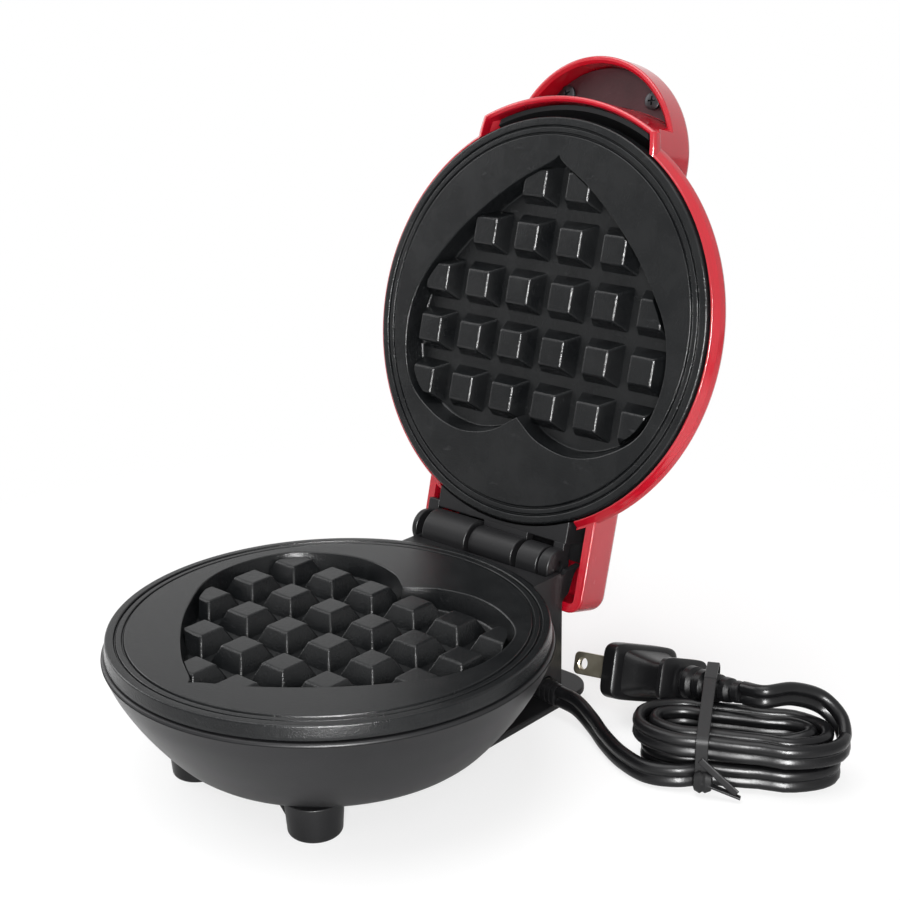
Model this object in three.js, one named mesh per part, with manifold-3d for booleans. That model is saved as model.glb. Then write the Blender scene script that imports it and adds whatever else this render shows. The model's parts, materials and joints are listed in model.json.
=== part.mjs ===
// Heart waffle maker, open at rest with the lid leaning back on its stop.
// Millimetres. +Z is up, +X runs along the hinge and the handle points to -Y.

import * as THREE from "three";
import { mergeVertices } from "three/addons/utils/BufferGeometryUtils.js";
import Module from "manifold-3d";

const wasm = await Module();
wasm.setup();

// Driving dimensions of the whole appliance
const faceHeight = 40;
const openAngle = 104.6;
const closedGap = 0.3;
const fitGap = 0.3;
const overrun = 3;
const roundSides = 44;
const hiddenSides = 32;
const postSides = 20;
const screwSides = 12;
const cornerSegments = 8;
const gapSampleShares = [0, 0.25, 0.5, 0.75];

// Cooking plates
const plateRadius = 57.1;
const plateSkirtOut = 0.35;
const plateSkirtDrop = 2.9;
const plateRimHeight = 3.9;
const plateNeckIn = 3.6;
const plateBackIn = 2;
const plateThickness = 8;
const plateBackChamfer = 1.5;
const rimWidth = 2.1;
const grooveWidth = 2.8;
const grooveDepth = 0.8;
const plateSkirtRadius = plateRadius + plateSkirtOut;
const plateNeckRadius = plateRadius - plateNeckIn;
const plateBackRadius = plateNeckRadius - plateBackIn;
const rimInnerRadius = plateRadius - rimWidth;
const grooveInnerRadius = rimInnerRadius - grooveWidth;

// Heart pocket and its teeth, counted by row from the heart's tip
const heartSideMargin = 5.9;
const heartTipMargin = 5.7;
const heartTopMargin = 17.4;
const heartHalfWidth = grooveInnerRadius - heartSideMargin;
const heartTipY = heartTipMargin - grooveInnerRadius;
const heartLength = 2 * grooveInnerRadius - heartTipMargin - heartTopMargin;
const heartOutlineShares = [
  [0, 0], [0.05, 0.026], [0.272, 0.1], [0.546, 0.225], [0.758, 0.353], [0.95, 0.517],
  [1, 0.689], [0.907, 0.867], [0.68, 0.964], [0.432, 1], [0.184, 0.975], [0, 0.91],
];
const heartSteps = 23;
const pocketDepth = 5.83;
const pocketDraft = 1.6;
const toothRowCounts = [2, 4, 6, 6, 6];
const toothFirstRow = 7.98;
const toothPitchShares = [0.33, 0.1894];
const toothPitchX = heartHalfWidth * toothPitchShares[0];
const toothPitchY = heartLength * toothPitchShares[1];
const toothTopDrop = 0.84;
const toothTopWidth = 7.58;
const toothFootWidth = 12.3;

// Heating elements, reflector trays and the screws that clamp them
const trayInset = 11.5;
const trayThickness = 0.8;
const trayLip = 3;
const elementInset = 4;
const elementTube = 6;
const elementGapAngle = 70;
const elementTerminal = 2.6;
const elementTerminalLength = 7;
const elementSides = 5;
const screwInset = 11;
const plateScrewAngles = [90, 210, 330];
const screwShank = 3;
const screwBore = 3.6;
const screwHead = 5.8;
const screwHeadHeight = 2;
const plateScrewGrip = 4.5;
const plateBossDiameter = 8;
const trayRadius = plateNeckRadius - trayInset;
const elementRadius = trayRadius - elementInset;
const screwCircle = elementRadius - screwInset;

// Hinge along X
const hingeStandOff = 8.3;
const hingeDrop = 0.2;
const hingeY = plateRadius + hingeStandOff;
const hingeHeight = faceHeight - hingeDrop;
const pinDiameter = 3;
const pinBore = 3.6;
const pinProud = 0.1;
const baseKnuckleRadii = [6.2, 5.2];
const baseKnuckleShares = [[-0.941, -0.259], [0.51, 0.816]];
const lidKnuckleRadius = 5;
const knuckleGap = 0.35;
const knuckleSideGap = 1.9;
const outerKnuckleLength = 1.85;
const hingeLeafHalfWidth = 23.9;
const hingeLeafEndGap = 0.4;
const hingeLeafNear = 0.5;
const hingeLeafThickness = 3;
const hingeLeafGap = 6.45;

// Base shell
const bowlLipOut = 1.45;
const bowlLipWidth = 3.1;
const bowlFlare = 16.9;
const bowlBottom = 10;
const bowlWall = 2;
const bowlLipRadius = plateSkirtRadius + bowlLipOut;
const bowlLipInner = bowlLipRadius - bowlLipWidth;
const bowlFlatRadius = bowlLipRadius - bowlFlare;
const bowlOutlineShares = [
  [0, 0], [0.12, 0.07], [0.347, 0.248], [0.611, 0.492], [0.832, 0.748], [0.97, 0.969], [1, 1],
];
const bowlSteps = 10;
const pillarDiameter = 9;
const pillarRecess = 6.6;
const pillarSeat = 3;
const cheekThickness = 1.5;
const towerWall = 2;
const towerRearInset = 0.4;
const towerDepth = 19;
const towerCheekDrop = 1.1;
const towerBottom = 2.3;
const towerFlare = 9.2;
const towerFlareShares = [[0.25, 0.9], [0.45, 0.5], [0.6, 0.25]];
const troughDrop = 8.2;
const troughReach = 6;
const slantReach = 10.4;
const slantFoot = 3.4;
const slantHeight = 8.3;
const pedestalY = 30;
const pedestalDiameter = 18;
const towerBossX = 8;
const towerBossDiameter = 7;
const towerBossHeight = 15;
const towerHalfWidth = hingeLeafHalfWidth + cheekThickness;
const towerRearY = hingeY - towerRearInset;
const towerFrontY = towerRearY - towerDepth;

// Rear stand and feet
const standThickness = 2;
const standHalfWidth = 28.5;
const standFrontMargin = 1;
const standTail = 11.6;
const standCorner = 8.5;
const standScrewLength = 7;
const footTopDiameter = 15;
const footFloorDiameter = 13.6;
const footCircleInset = 6.2;
const footAngle = 52;
const footEdge = 1.4;
const footEdgeShare = 0.3;
const footWebLength = 7;
const footWebThickness = 2.4;

// Lid shell
const lidRimGap = 0.55;
const lidRimDepth = 3;
const lidRoom = 13.3;
const lidWall = 2;
const lidRimRadius = plateSkirtRadius + lidRimGap + lidWall;
const domeOutlineShares = [
  [1, 0.097], [0.993, 0.177], [0.955, 0.29], [0.908, 0.419], [0.833, 0.613],
  [0.733, 0.79], [0.6, 0.903], [0.433, 0.974], [0.167, 1], [0, 1],
];
const lipStandOff = 3.1;
const lipWall = 1.6;
const lipHalfWidth = 30;
const lipDepth = 0.7;
const lipRadius = lidRimRadius + lipStandOff;
const billReach = 13.3;
const billRadius = 29;
const billEdgeDepth = 13;
const billWall = 2;
const billRoof = 23.6;
const billRoofWall = 2.1;
const billRound = 3.2;
const billRoundShare = 0.3;
const billCentreY = billRadius - lipRadius - billReach;
const panelThickness = 1.2;
const panelScrewInset = 3.42;
const panelScrewStandOff = 2.5;
const panelScrewEnd = 0.5;
const tailSideGap = 2.6;
const tailWall = 2.8;
const tailReach = 12.6;
const tailDepth = 16;
const tailRoof = 2;
const tailCorner = 5;
const tailRound = 4;
const notchSideGap = 1.1;
const notchReach = 1.6;
const tailHalfWidth = towerHalfWidth + tailSideGap + tailWall;
const tailEndY = hingeY + tailReach;

// Lid frame, thermostat, fuse and lamp
const frameThickness = 2;
const frameRingInset = 7;
const frameRingOverhang = 2;
const frameFootReach = 2.6;
const frameBridgeRoom = 1.4;
const frameScrewX = 13;
const frameScrewBack = 6.6;
const frameScrewBite = 1.2;
const tailBossDiameter = 6.4;
const thermostatDiameter = 12;
const thermostatHeight = 7;
const thermostatInset = 4;
const thermostatEarReach = 2.4;
const thermostatEarWidth = 4;
const thermostatEarShares = [0.6, 0.7];
const fuseDiameter = 4;
const fuseLength = 14;
const fuseInset = 4;
const lensDiameter = 6;
const lensFlange = 8.4;
const lensFlangeThickness = 1.2;
const lensFlangeRoom = 5;
const lensStand = 0.5;
const lensInset = 27;
const lampDiameter = 4.8;

// Terminal block in the base
const blockLength = 20;
const blockWidth = 11;
const blockHeadroom = 4.3;
const blockY = 6;

// Power cord: flat two-core lead with its strain relief and hank
const cordWidth = 6.4;
const cordThickness = 3.4;
const cordSquareness = 2.5;
const leadSides = 8;
const reliefInside = 14.4;
const reliefFront = 5.9;
const reliefHeight = 6.6;
const reliefHeading = [1, -0.13, -0.035];
const reliefLength = 20;
const reliefFlare = 2.6;
const reliefSides = 12;
const leadRoute = [
  [41, 54.6, 4.1], [52, 48.6, 3.5], [62, 44, 3.4], [71, 42.4, 3.4], [78.2, 45, 3.9],
];
const leadSteps = 20;
const hankCentre = [84, 63];
const hankHeading = 28;
const hankRun = 27.6;
const hankInner = 4;
const hankPitch = 4.25;
const hankLoops = 2;
const hankLayerGap = 0.6;
const hankLift = 1;
const hankWaist = 1.9;
const hankWaistShares = [0.45, 1.1];
const hankBowShare = 0.8;
const hankClimbShare = 0.25;
const hankStepsPerLoop = 24;
const hankSides = 6;
const hankTail = [
  [24.5, 8, 12.5], [18.5, 13.6, 16.5], [12, 11, 20.4],
];

// Tie round the hank: its outline across the hank, from the floor up
const tieAlong = -7.5;
const tieWidth = 3.2;
const tieThickness = 0.6;
const tieRoute = [
  [-14.8, 0.1], [-14.8, 15.4], [5, 23.2], [14.5, 23.2], [18, 20.6], [18, 13.5], [13.4, 0.1],
];

// Plug: rings along its axis from the strain relief to the front face
const plugReliefEnd = [83, 67.4, 20];
const plugFront = [44, 73, 11.6];
const plugAcross = [0.374, 0.876, -0.306];
const plugFlangeWidth = 25;
const plugFlangeHeight = 15.5;
const plugFlangeThickness = 4.5;
const plugGripLength = 20;
const plugGripWidth = 18;
const plugGripHeight = 12;
const plugWaistWidth = 14;
const plugReliefDiameter = 9;
const plugReliefTip = 5.6;
const plugRibs = 5;
const plugRibDepth = 0.8;
const plugRibShares = [0, 0.6, 0.62, 0.98];
const plugSquarenessShares = { relief: 2, grip: 4, shoulder: 5, flange: 6 };
const plugSides = 20;
const bladeLength = 16;
const bladeSpacing = 12.7;
const bladeWidths = [6.35, 7.9];
const bladeThickness = 1.5;
const bladeHole = 3.2;
const bladeHoleInset = 3.6;

// Shapes made from geometry classes
const across = new THREE.Matrix4().makeBasis(
  new THREE.Vector3(0, 1, 0), new THREE.Vector3(0, 0, 1), new THREE.Vector3(1, 0, 0),
);

function signedVolume(positions, index) {
  const corners = [new THREE.Vector3(), new THREE.Vector3(), new THREE.Vector3()];
  let sum = 0;
  for (let i = 0; i < index.length; i += 3) {
    corners.forEach((corner, k) => corner.fromArray(positions, index[i + k] * 3));
    sum += corners[0].dot(corners[1].cross(corners[2]));
  }
  return sum;
}

function toSolid(source) {
  const bare = source.clone();
  bare.deleteAttribute("normal");
  bare.deleteAttribute("uv");
  const merged = mergeVertices(bare, 1e-4);
  const positions = Float32Array.from(merged.attributes.position.array);
  const all = Array.from(merged.index.array);
  const kept = [];
  for (let i = 0; i < all.length; i += 3) {
    const [a, b, c] = all.slice(i, i + 3);
    if (a !== b && b !== c && c !== a) kept.push(a, b, c);
  }
  if (signedVolume(positions, kept) < 0) kept.reverse();
  const mesh = new wasm.Mesh({
    numProp: 3, vertProperties: positions, triVerts: Uint32Array.from(kept),
  });
  mesh.merge();
  return new wasm.Manifold(mesh);
}

function toGeometry(solid) {
  const mesh = solid.getMesh();
  const geometry = new THREE.BufferGeometry();
  geometry.setAttribute("position", new THREE.BufferAttribute(mesh.vertProperties, 3));
  geometry.setIndex(new THREE.BufferAttribute(mesh.triVerts, 1));
  return geometry;
}

function join(...solids) {
  return solids.reduce((whole, solid) => whole.add(solid));
}

function block(x, y, z) {
  const geometry = new THREE.BoxGeometry(x[1] - x[0], y[1] - y[0], z[1] - z[0]);
  geometry.translate((x[0] + x[1]) / 2, (y[0] + y[1]) / 2, (z[0] + z[1]) / 2);
  return toSolid(geometry);
}

function post(x, y, z, diameter, sides = postSides, topDiameter = diameter) {
  const height = z[1] - z[0];
  const geometry = new THREE.CylinderGeometry(topDiameter / 2, diameter / 2, height, sides);
  geometry.rotateX(Math.PI / 2);
  geometry.translate(x, y, (z[0] + z[1]) / 2);
  return toSolid(geometry);
}

function rod(span, y, z, radius, sides = postSides) {
  const geometry = new THREE.CylinderGeometry(radius, radius, span[1] - span[0], sides);
  geometry.rotateZ(Math.PI / 2);
  geometry.translate((span[0] + span[1]) / 2, y, z);
  return toSolid(geometry);
}

function revolve(profile, sides = roundSides) {
  const points = profile.map(([radius, height]) => new THREE.Vector2(radius, height));
  const geometry = new THREE.LatheGeometry(points, sides);
  geometry.rotateX(Math.PI / 2);
  return toSolid(geometry);
}

function prismUp(shape, z) {
  const settings = { depth: z[1] - z[0], bevelEnabled: false, curveSegments: cornerSegments };
  const geometry = new THREE.ExtrudeGeometry(shape, settings);
  geometry.translate(0, 0, z[0]);
  return toSolid(geometry);
}

function prismAcross(outline, x) {
  const settings = { depth: x[1] - x[0], bevelEnabled: false };
  const geometry = new THREE.ExtrudeGeometry(outlineShape(outline), settings);
  geometry.applyMatrix4(across);
  geometry.translate(x[0], 0, 0);
  return toSolid(geometry);
}

function outlineShape(outline) {
  return new THREE.Shape(outline.map(([x, y]) => new THREE.Vector2(x, y)));
}

function roundedOutline(x, y, corners) {
  const shape = new THREE.Shape();
  const [frontCorner, rearCorner] = corners;
  shape.moveTo(x[0] + frontCorner, y[0]);
  shape.lineTo(x[1] - frontCorner, y[0]);
  shape.absarc(x[1] - frontCorner, y[0] + frontCorner, frontCorner, -Math.PI / 2, 0);
  shape.lineTo(x[1], y[1] - rearCorner);
  shape.absarc(x[1] - rearCorner, y[1] - rearCorner, rearCorner, 0, Math.PI / 2);
  shape.lineTo(x[0] + rearCorner, y[1]);
  shape.absarc(x[0] + rearCorner, y[1] - rearCorner, rearCorner, Math.PI / 2, Math.PI);
  shape.lineTo(x[0], y[0] + frontCorner);
  shape.absarc(x[0] + frontCorner, y[0] + frontCorner, frontCorner, Math.PI, 1.5 * Math.PI);
  return shape;
}

function insetProfile(points, distance) {
  return points.map(([radius, height], i) => {
    const before = points[Math.max(i - 1, 0)];
    const after = points[Math.min(i + 1, points.length - 1)];
    const along = new THREE.Vector2(after[0] - before[0], after[1] - before[1]).normalize();
    return [Math.max(radius - along.y * distance, 0), height + along.x * distance];
  });
}

function superEllipse(width, height, power, count) {
  const points = [];
  for (let i = 0; i < count; i += 1) {
    const angle = ((i + 0.5) / count) * 2 * Math.PI;
    const [c, s] = [Math.cos(angle), Math.sin(angle)];
    const x = Math.sign(c) * Math.abs(c) ** (2 / power) * (width / 2);
    const y = Math.sign(s) * Math.abs(s) ** (2 / power) * (height / 2);
    points.push([x, y]);
  }
  return points;
}

// Rings along a tube whose section keeps one side upright; size gives each ring's width and height
function sweepRings(points, size, sides) {
  const up = new THREE.Vector3(0, 0, 1);
  return points.map((point, i) => {
    const before = points[Math.max(i - 1, 0)];
    const after = points[Math.min(i + 1, points.length - 1)];
    const heading = after.clone().sub(before).normalize();
    const side = heading.clone().cross(up).normalize();
    const rise = side.clone().cross(heading).normalize();
    const [width, height] = size(i);
    return superEllipse(width, height, cordSquareness, sides).map(([a, b]) => (
      point.clone().addScaledVector(side, a).addScaledVector(rise, b)
    ));
  });
}

function ringsToSolid(rings, sides) {
  const positions = rings.flat().flatMap((p) => [p.x, p.y, p.z]);
  const index = [];
  for (let i = 0; i + 1 < rings.length; i += 1) {
    for (let k = 0; k < sides; k += 1) {
      const a = i * sides + k;
      const b = i * sides + ((k + 1) % sides);
      index.push(a, b, a + sides, b, b + sides, a + sides);
    }
  }
  const last = (rings.length - 1) * sides;
  for (let k = 1; k + 1 < sides; k += 1) {
    index.push(0, k + 1, k);
    index.push(last, last + k, last + k + 1);
  }
  const geometry = new THREE.BufferGeometry();
  geometry.setAttribute("position", new THREE.Float32BufferAttribute(positions, 3));
  geometry.setIndex(index);
  return toSolid(geometry);
}

// Least distance between two stretches of a tube, on points spread over its facets
function leastGap(rings, sides) {
  const samples = rings.map((ring) => ring.flatMap((p, k) => {
    const next = ring[(k + 1) % sides];
    return gapSampleShares.map((t) => p.clone().lerp(next, t));
  }));
  const centres = rings.map((ring) => (
    ring.reduce((sum, p) => sum.add(p), new THREE.Vector3()).divideScalar(sides)
  ));
  const apart = Math.round(hankStepsPerLoop / 3);
  let least = Infinity;
  for (let i = 0; i < rings.length; i += 1) {
    for (let j = i + apart; j < rings.length; j += 1) {
      if (centres[i].distanceTo(centres[j]) > 3 * cordWidth) continue;
      for (const p of samples[i]) {
        for (const q of samples[j]) {
          least = Math.min(least, p.distanceTo(q));
        }
      }
    }
  }
  return least;
}

function sweep(points, size, sides) {
  return ringsToSolid(sweepRings(points, size, sides), sides);
}

// The scene graph: the base stands still and the lid turns about the pin
const wafflemaker = new THREE.Group();
const base = new THREE.Group();
const lid = new THREE.Group();
const closedLid = new THREE.Group();
wafflemaker.add(base, lid);
lid.position.set(0, hingeY, hingeHeight);
lid.rotation.x = THREE.MathUtils.degToRad(-openAngle);
lid.add(closedLid);
closedLid.position.set(0, -hingeY, -hingeHeight);

const blackPlastic = { color: 0x1d1e20, roughness: 0.45, metalness: 0 };
const redPlastic = { color: 0xc8102e, roughness: 0.18, metalness: 0 };
const darkRedPlastic = { color: 0x3a0a10, roughness: 0.2, metalness: 0 };
const nonStick = { color: 0x232426, roughness: 0.6, metalness: 0.2 };
const steel = { color: 0xb8babd, roughness: 0.35, metalness: 1 };
const tinned = { color: 0xcfd1d4, roughness: 0.4, metalness: 1 };
const nickel = { color: 0xc9b98c, roughness: 0.3, metalness: 1 };
const cordBlack = { color: 0x141516, roughness: 0.4, metalness: 0 };
const phenolic = { color: 0x2b2320, roughness: 0.6, metalness: 0 };
const ceramic = { color: 0xe8e2d4, roughness: 0.7, metalness: 0 };
const lensBlue = { color: 0x6fb7e8, roughness: 0.15, metalness: 0 };

function place(group, name, solid, look) {
  const geometry = solid instanceof THREE.BufferGeometry ? solid : toGeometry(solid);
  const mesh = new THREE.Mesh(geometry, new THREE.MeshStandardMaterial(look));
  mesh.name = name;
  group.add(mesh);
}

// Lid depths are measured from the upper face, away from the lower plate
const upperFace = faceHeight + closedGap;
const depth = (value) => upperFace + value;

// Cooking plates: rim, groove, heart pocket with drafted walls and frustum teeth
function heartShape() {
  const right = new THREE.SplineCurve(heartOutlineShares.map(
    ([x, y]) => new THREE.Vector2(x * heartHalfWidth, heartTipY + y * heartLength),
  )).getPoints(heartSteps);
  const left = right.slice(1, -1).reverse().map((p) => new THREE.Vector2(-p.x, p.y));
  return new THREE.Shape([...right, ...left]);
}

function heartPocket() {
  const geometry = new THREE.ExtrudeGeometry(heartShape(), {
    depth: pocketDepth + overrun, bevelEnabled: false,
  });
  const floorShare = 1 - pocketDraft / heartHalfWidth;
  const faceShare = 1 + ((1 - floorShare) * overrun) / pocketDepth;
  const centreY = heartTipY + heartLength / 2;
  const points = geometry.attributes.position;
  for (let i = 0; i < points.count; i += 1) {
    const share = points.getZ(i) > pocketDepth ? faceShare : floorShare;
    points.setX(i, points.getX(i) * share);
    points.setY(i, centreY + (points.getY(i) - centreY) * share);
  }
  geometry.translate(0, 0, -pocketDepth);
  return toSolid(geometry);
}

function tooth(x, y) {
  const slope = (toothFootWidth - toothTopWidth) / (pocketDepth - toothTopDrop);
  const height = pocketDepth - toothTopDrop + grooveDepth;
  const footWidth = toothTopWidth + slope * height;
  const geometry = new THREE.CylinderGeometry(
    toothTopWidth * Math.SQRT1_2, footWidth * Math.SQRT1_2, height, 4,
  );
  geometry.rotateY(Math.PI / 4);
  geometry.rotateX(Math.PI / 2);
  geometry.translate(x, y, -toothTopDrop - height / 2);
  return toSolid(geometry);
}

const elementTop = plateThickness + fitGap;
const elementBottom = elementTop + elementTube;
const trayTop = elementBottom + fitGap;
const trayBottom = trayTop + trayThickness;
const screwPlaces = plateScrewAngles.map(THREE.MathUtils.degToRad).map((angle) => (
  [screwCircle * Math.cos(angle), screwCircle * Math.sin(angle)]
));

function plateSolid() {
  let plate = revolve([
    [0, -plateThickness], [plateBackRadius, -plateThickness],
    [plateNeckRadius, -plateThickness + plateBackChamfer], [plateNeckRadius, -plateRimHeight],
    [plateSkirtRadius, -plateRimHeight], [plateSkirtRadius, -plateSkirtDrop], [plateRadius, 0],
    [rimInnerRadius, 0], [rimInnerRadius - grooveDepth, -grooveDepth],
    [grooveInnerRadius + grooveDepth, -grooveDepth], [grooveInnerRadius, 0], [0, 0],
  ]);
  plate = plate.subtract(heartPocket());
  toothRowCounts.forEach((count, row) => {
    for (let column = 0; column < count; column += 1) {
      const x = (column - (count - 1) / 2) * toothPitchX;
      plate = plate.add(tooth(x, heartTipY + toothFirstRow + row * toothPitchY));
    }
  });
  for (const [x, y] of screwPlaces) {
    const bossEnd = -elementBottom;
    plate = plate.add(post(x, y, [bossEnd, -plateThickness + fitGap], plateBossDiameter));
    const boreTop = bossEnd + plateScrewGrip + fitGap;
    plate = plate.subtract(post(x, y, [bossEnd - overrun, boreTop], screwBore, screwSides));
  }
  return toGeometry(plate);
}

const plateGeometry = plateSolid();
const lowerPlate = plateGeometry.clone().translate(0, 0, faceHeight);
const upperPlate = plateGeometry.clone().rotateY(Math.PI).translate(0, 0, upperFace);
place(base, "lower_plate", lowerPlate, nonStick);
place(closedLid, "upper_plate", upperPlate, nonStick);

// Horseshoe heating element with two terminals that pass through its tray
const elementEnds = [-1, 1].map((side) => (
  Math.PI / 2 + side * THREE.MathUtils.degToRad(elementGapAngle / 2)
));
const terminalInset = elementTube / 2 / elementRadius;
const terminalPlaces = [elementEnds[1] + terminalInset, elementEnds[0] - terminalInset].map((angle) => (
  [elementRadius * Math.cos(angle), elementRadius * Math.sin(angle)]
));

const elementSteps = roundSides / 2;

function elementGeometry() {
  const [start, end] = [elementEnds[1], elementEnds[0] + 2 * Math.PI];
  const points = [];
  for (let i = 0; i <= elementSteps; i += 1) {
    const angle = start + ((end - start) * i) / elementSteps;
    points.push(new THREE.Vector3(
      elementRadius * Math.cos(angle), elementRadius * Math.sin(angle), 0,
    ));
  }
  const section = new THREE.Shape();
  section.absarc(0, 0, elementTube / 2, 0, 2 * Math.PI);
  const tube = new THREE.ExtrudeGeometry(section, {
    steps: elementSteps, curveSegments: elementSides, extrudePath: new THREE.CatmullRomCurve3(points),
  });
  tube.translate(0, 0, -(elementTop + elementBottom) / 2);
  let element = toSolid(tube);
  for (const [x, y] of terminalPlaces) {
    const span = [-elementBottom - elementTerminalLength, -(elementTop + elementBottom) / 2];
    element = element.add(post(x, y, span, elementTerminal, screwSides));
  }
  return toGeometry(element);
}

function trayGeometry() {
  let tray = revolve([
    [0, -trayBottom], [trayRadius, -trayBottom], [trayRadius + trayLip, -trayBottom + trayLip],
    [trayRadius + trayLip - trayThickness, -trayTop + trayLip],
    [trayRadius - trayThickness, -trayTop], [0, -trayTop],
  ], hiddenSides);
  const holeSpan = [-trayBottom - overrun, -trayTop + overrun];
  for (const [x, y] of screwPlaces) {
    tray = tray.subtract(post(x, y, holeSpan, screwBore, screwSides));
  }
  for (const [x, y] of terminalPlaces) {
    tray = tray.subtract(post(x, y, holeSpan, elementTerminal * 2, screwSides));
  }
  return toGeometry(tray);
}

const element = elementGeometry();
const tray = trayGeometry();
place(base, "lower_heating_element", element.clone().translate(0, 0, faceHeight), steel);
place(base, "lower_reflector_tray", tray.clone().translate(0, 0, faceHeight), tinned);
const upperElement = element.clone().rotateY(Math.PI).translate(0, 0, upperFace);
const upperTray = tray.clone().rotateY(Math.PI).translate(0, 0, upperFace);
place(closedLid, "upper_heating_element", upperElement, steel);
place(closedLid, "upper_reflector_tray", upperTray, tinned);

// Screws: a flat round head and a shank, the head toward -Z before any turn
function screwSolid(x, y, headZ, shankLength) {
  return join(
    post(x, y, [headZ - screwHeadHeight, headZ], screwHead, screwSides),
    post(x, y, [headZ - fitGap, headZ + shankLength], screwShank, screwSides),
  );
}

function hangingScrewSolid(x, y, headZ, shankLength) {
  return join(
    post(x, y, [headZ, headZ + screwHeadHeight], screwHead, screwSides),
    post(x, y, [headZ - shankLength, headZ + fitGap], screwShank, screwSides),
  );
}

// Hinge: base and lid knuckles take turns along the pin, one lid knuckle lies outside the cheek
const baseKnuckles = baseKnuckleShares.map((span) => span.map((x) => x * hingeLeafHalfWidth));
const outerKnuckleEnd = -towerHalfWidth - knuckleGap;
const lidKnuckles = [
  [outerKnuckleEnd - outerKnuckleLength, outerKnuckleEnd],
  [baseKnuckles[0][1] + knuckleGap, baseKnuckles[1][0] - knuckleSideGap],
  [baseKnuckles[1][1] + knuckleGap, hingeLeafHalfWidth - hingeLeafEndGap],
];
const pinSpan = [lidKnuckles[0][0] - pinProud, lidKnuckles[2][1] + pinProud];

function pinBoreSolid() {
  const span = [pinSpan[0] - overrun, pinSpan[1] + overrun];
  return rod(span, hingeY, hingeHeight, pinBore / 2, screwSides);
}

// Base shell: bowl, hinge tower with two knuckles, pillars and pedestal
const bossRowY = towerRearY - towerBossDiameter / 2;
const standScrewPlaces = [
  [0, pedestalY + pedestalDiameter / 4], [-towerBossX, bossRowY], [towerBossX, bossRowY],
];
const standScrewTop = standThickness + standScrewLength + fitGap;
const bowlLipHeight = faceHeight - plateRimHeight - fitGap;
const bowlOuter = new THREE.SplineCurve(bowlOutlineShares.map(([r, h]) => new THREE.Vector2(
  bowlFlatRadius + r * (bowlLipRadius - bowlFlatRadius),
  bowlBottom + h * (bowlLipHeight - bowlBottom),
))).getPoints(bowlSteps).map((p) => [p.x, p.y]);
const bowlInner = insetProfile(bowlOuter, bowlWall)
  .filter(([r, h]) => r < bowlLipInner && h > bowlBottom + bowlWall);
const bowlFloor = bowlBottom + bowlWall;
const pillarTop = faceHeight - trayBottom - fitGap;
const pillarRecessTop = pillarTop - pillarSeat;

function bowlSolid() {
  return revolve([
    [0, bowlBottom], ...bowlOuter, [bowlLipInner, bowlLipHeight],
    ...bowlInner.reverse(), [bowlFlatRadius, bowlFloor], [0, bowlFloor],
  ]);
}

const cheekTop = faceHeight - towerCheekDrop;
const troughFloor = faceHeight - troughDrop;
const slantFrontY = towerRearY - slantReach;
const slantRearY = towerRearY - slantFoot;

const towerOutline = [
  [towerFrontY, bowlFloor], [slantFrontY, slantHeight],
  [slantRearY, towerBottom], [towerRearY, towerBottom],
  [towerRearY, hingeHeight - towerFlare - fitGap],
  ...towerFlareShares.map(([y, z]) => [hingeY + towerFlare * y, hingeHeight - towerFlare * z]),
  [hingeY + towerFlare, cheekTop], [towerFrontY + fitGap, cheekTop],
];

const reliefDirection = new THREE.Vector3(...reliefHeading).normalize();
const reliefOrigin = new THREE.Vector3(
  towerHalfWidth - reliefInside, hingeY - reliefFront, reliefHeight,
);
const reliefEnd = reliefOrigin.clone().addScaledVector(reliefDirection, reliefLength);

function reliefSolid(clearance) {
  const start = reliefOrigin.clone().addScaledVector(reliefDirection, -clearance);
  const end = reliefEnd.clone().addScaledVector(reliefDirection, clearance);
  const widths = [cordThickness + 2 * reliefFlare, cordThickness + reliefFlare / 2];
  const heights = [cordWidth + reliefFlare / 4, cordWidth];
  return sweep([start, end], (i) => [
    widths[i] + 2 * clearance, heights[i] + 2 * clearance,
  ], reliefSides);
}

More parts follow.
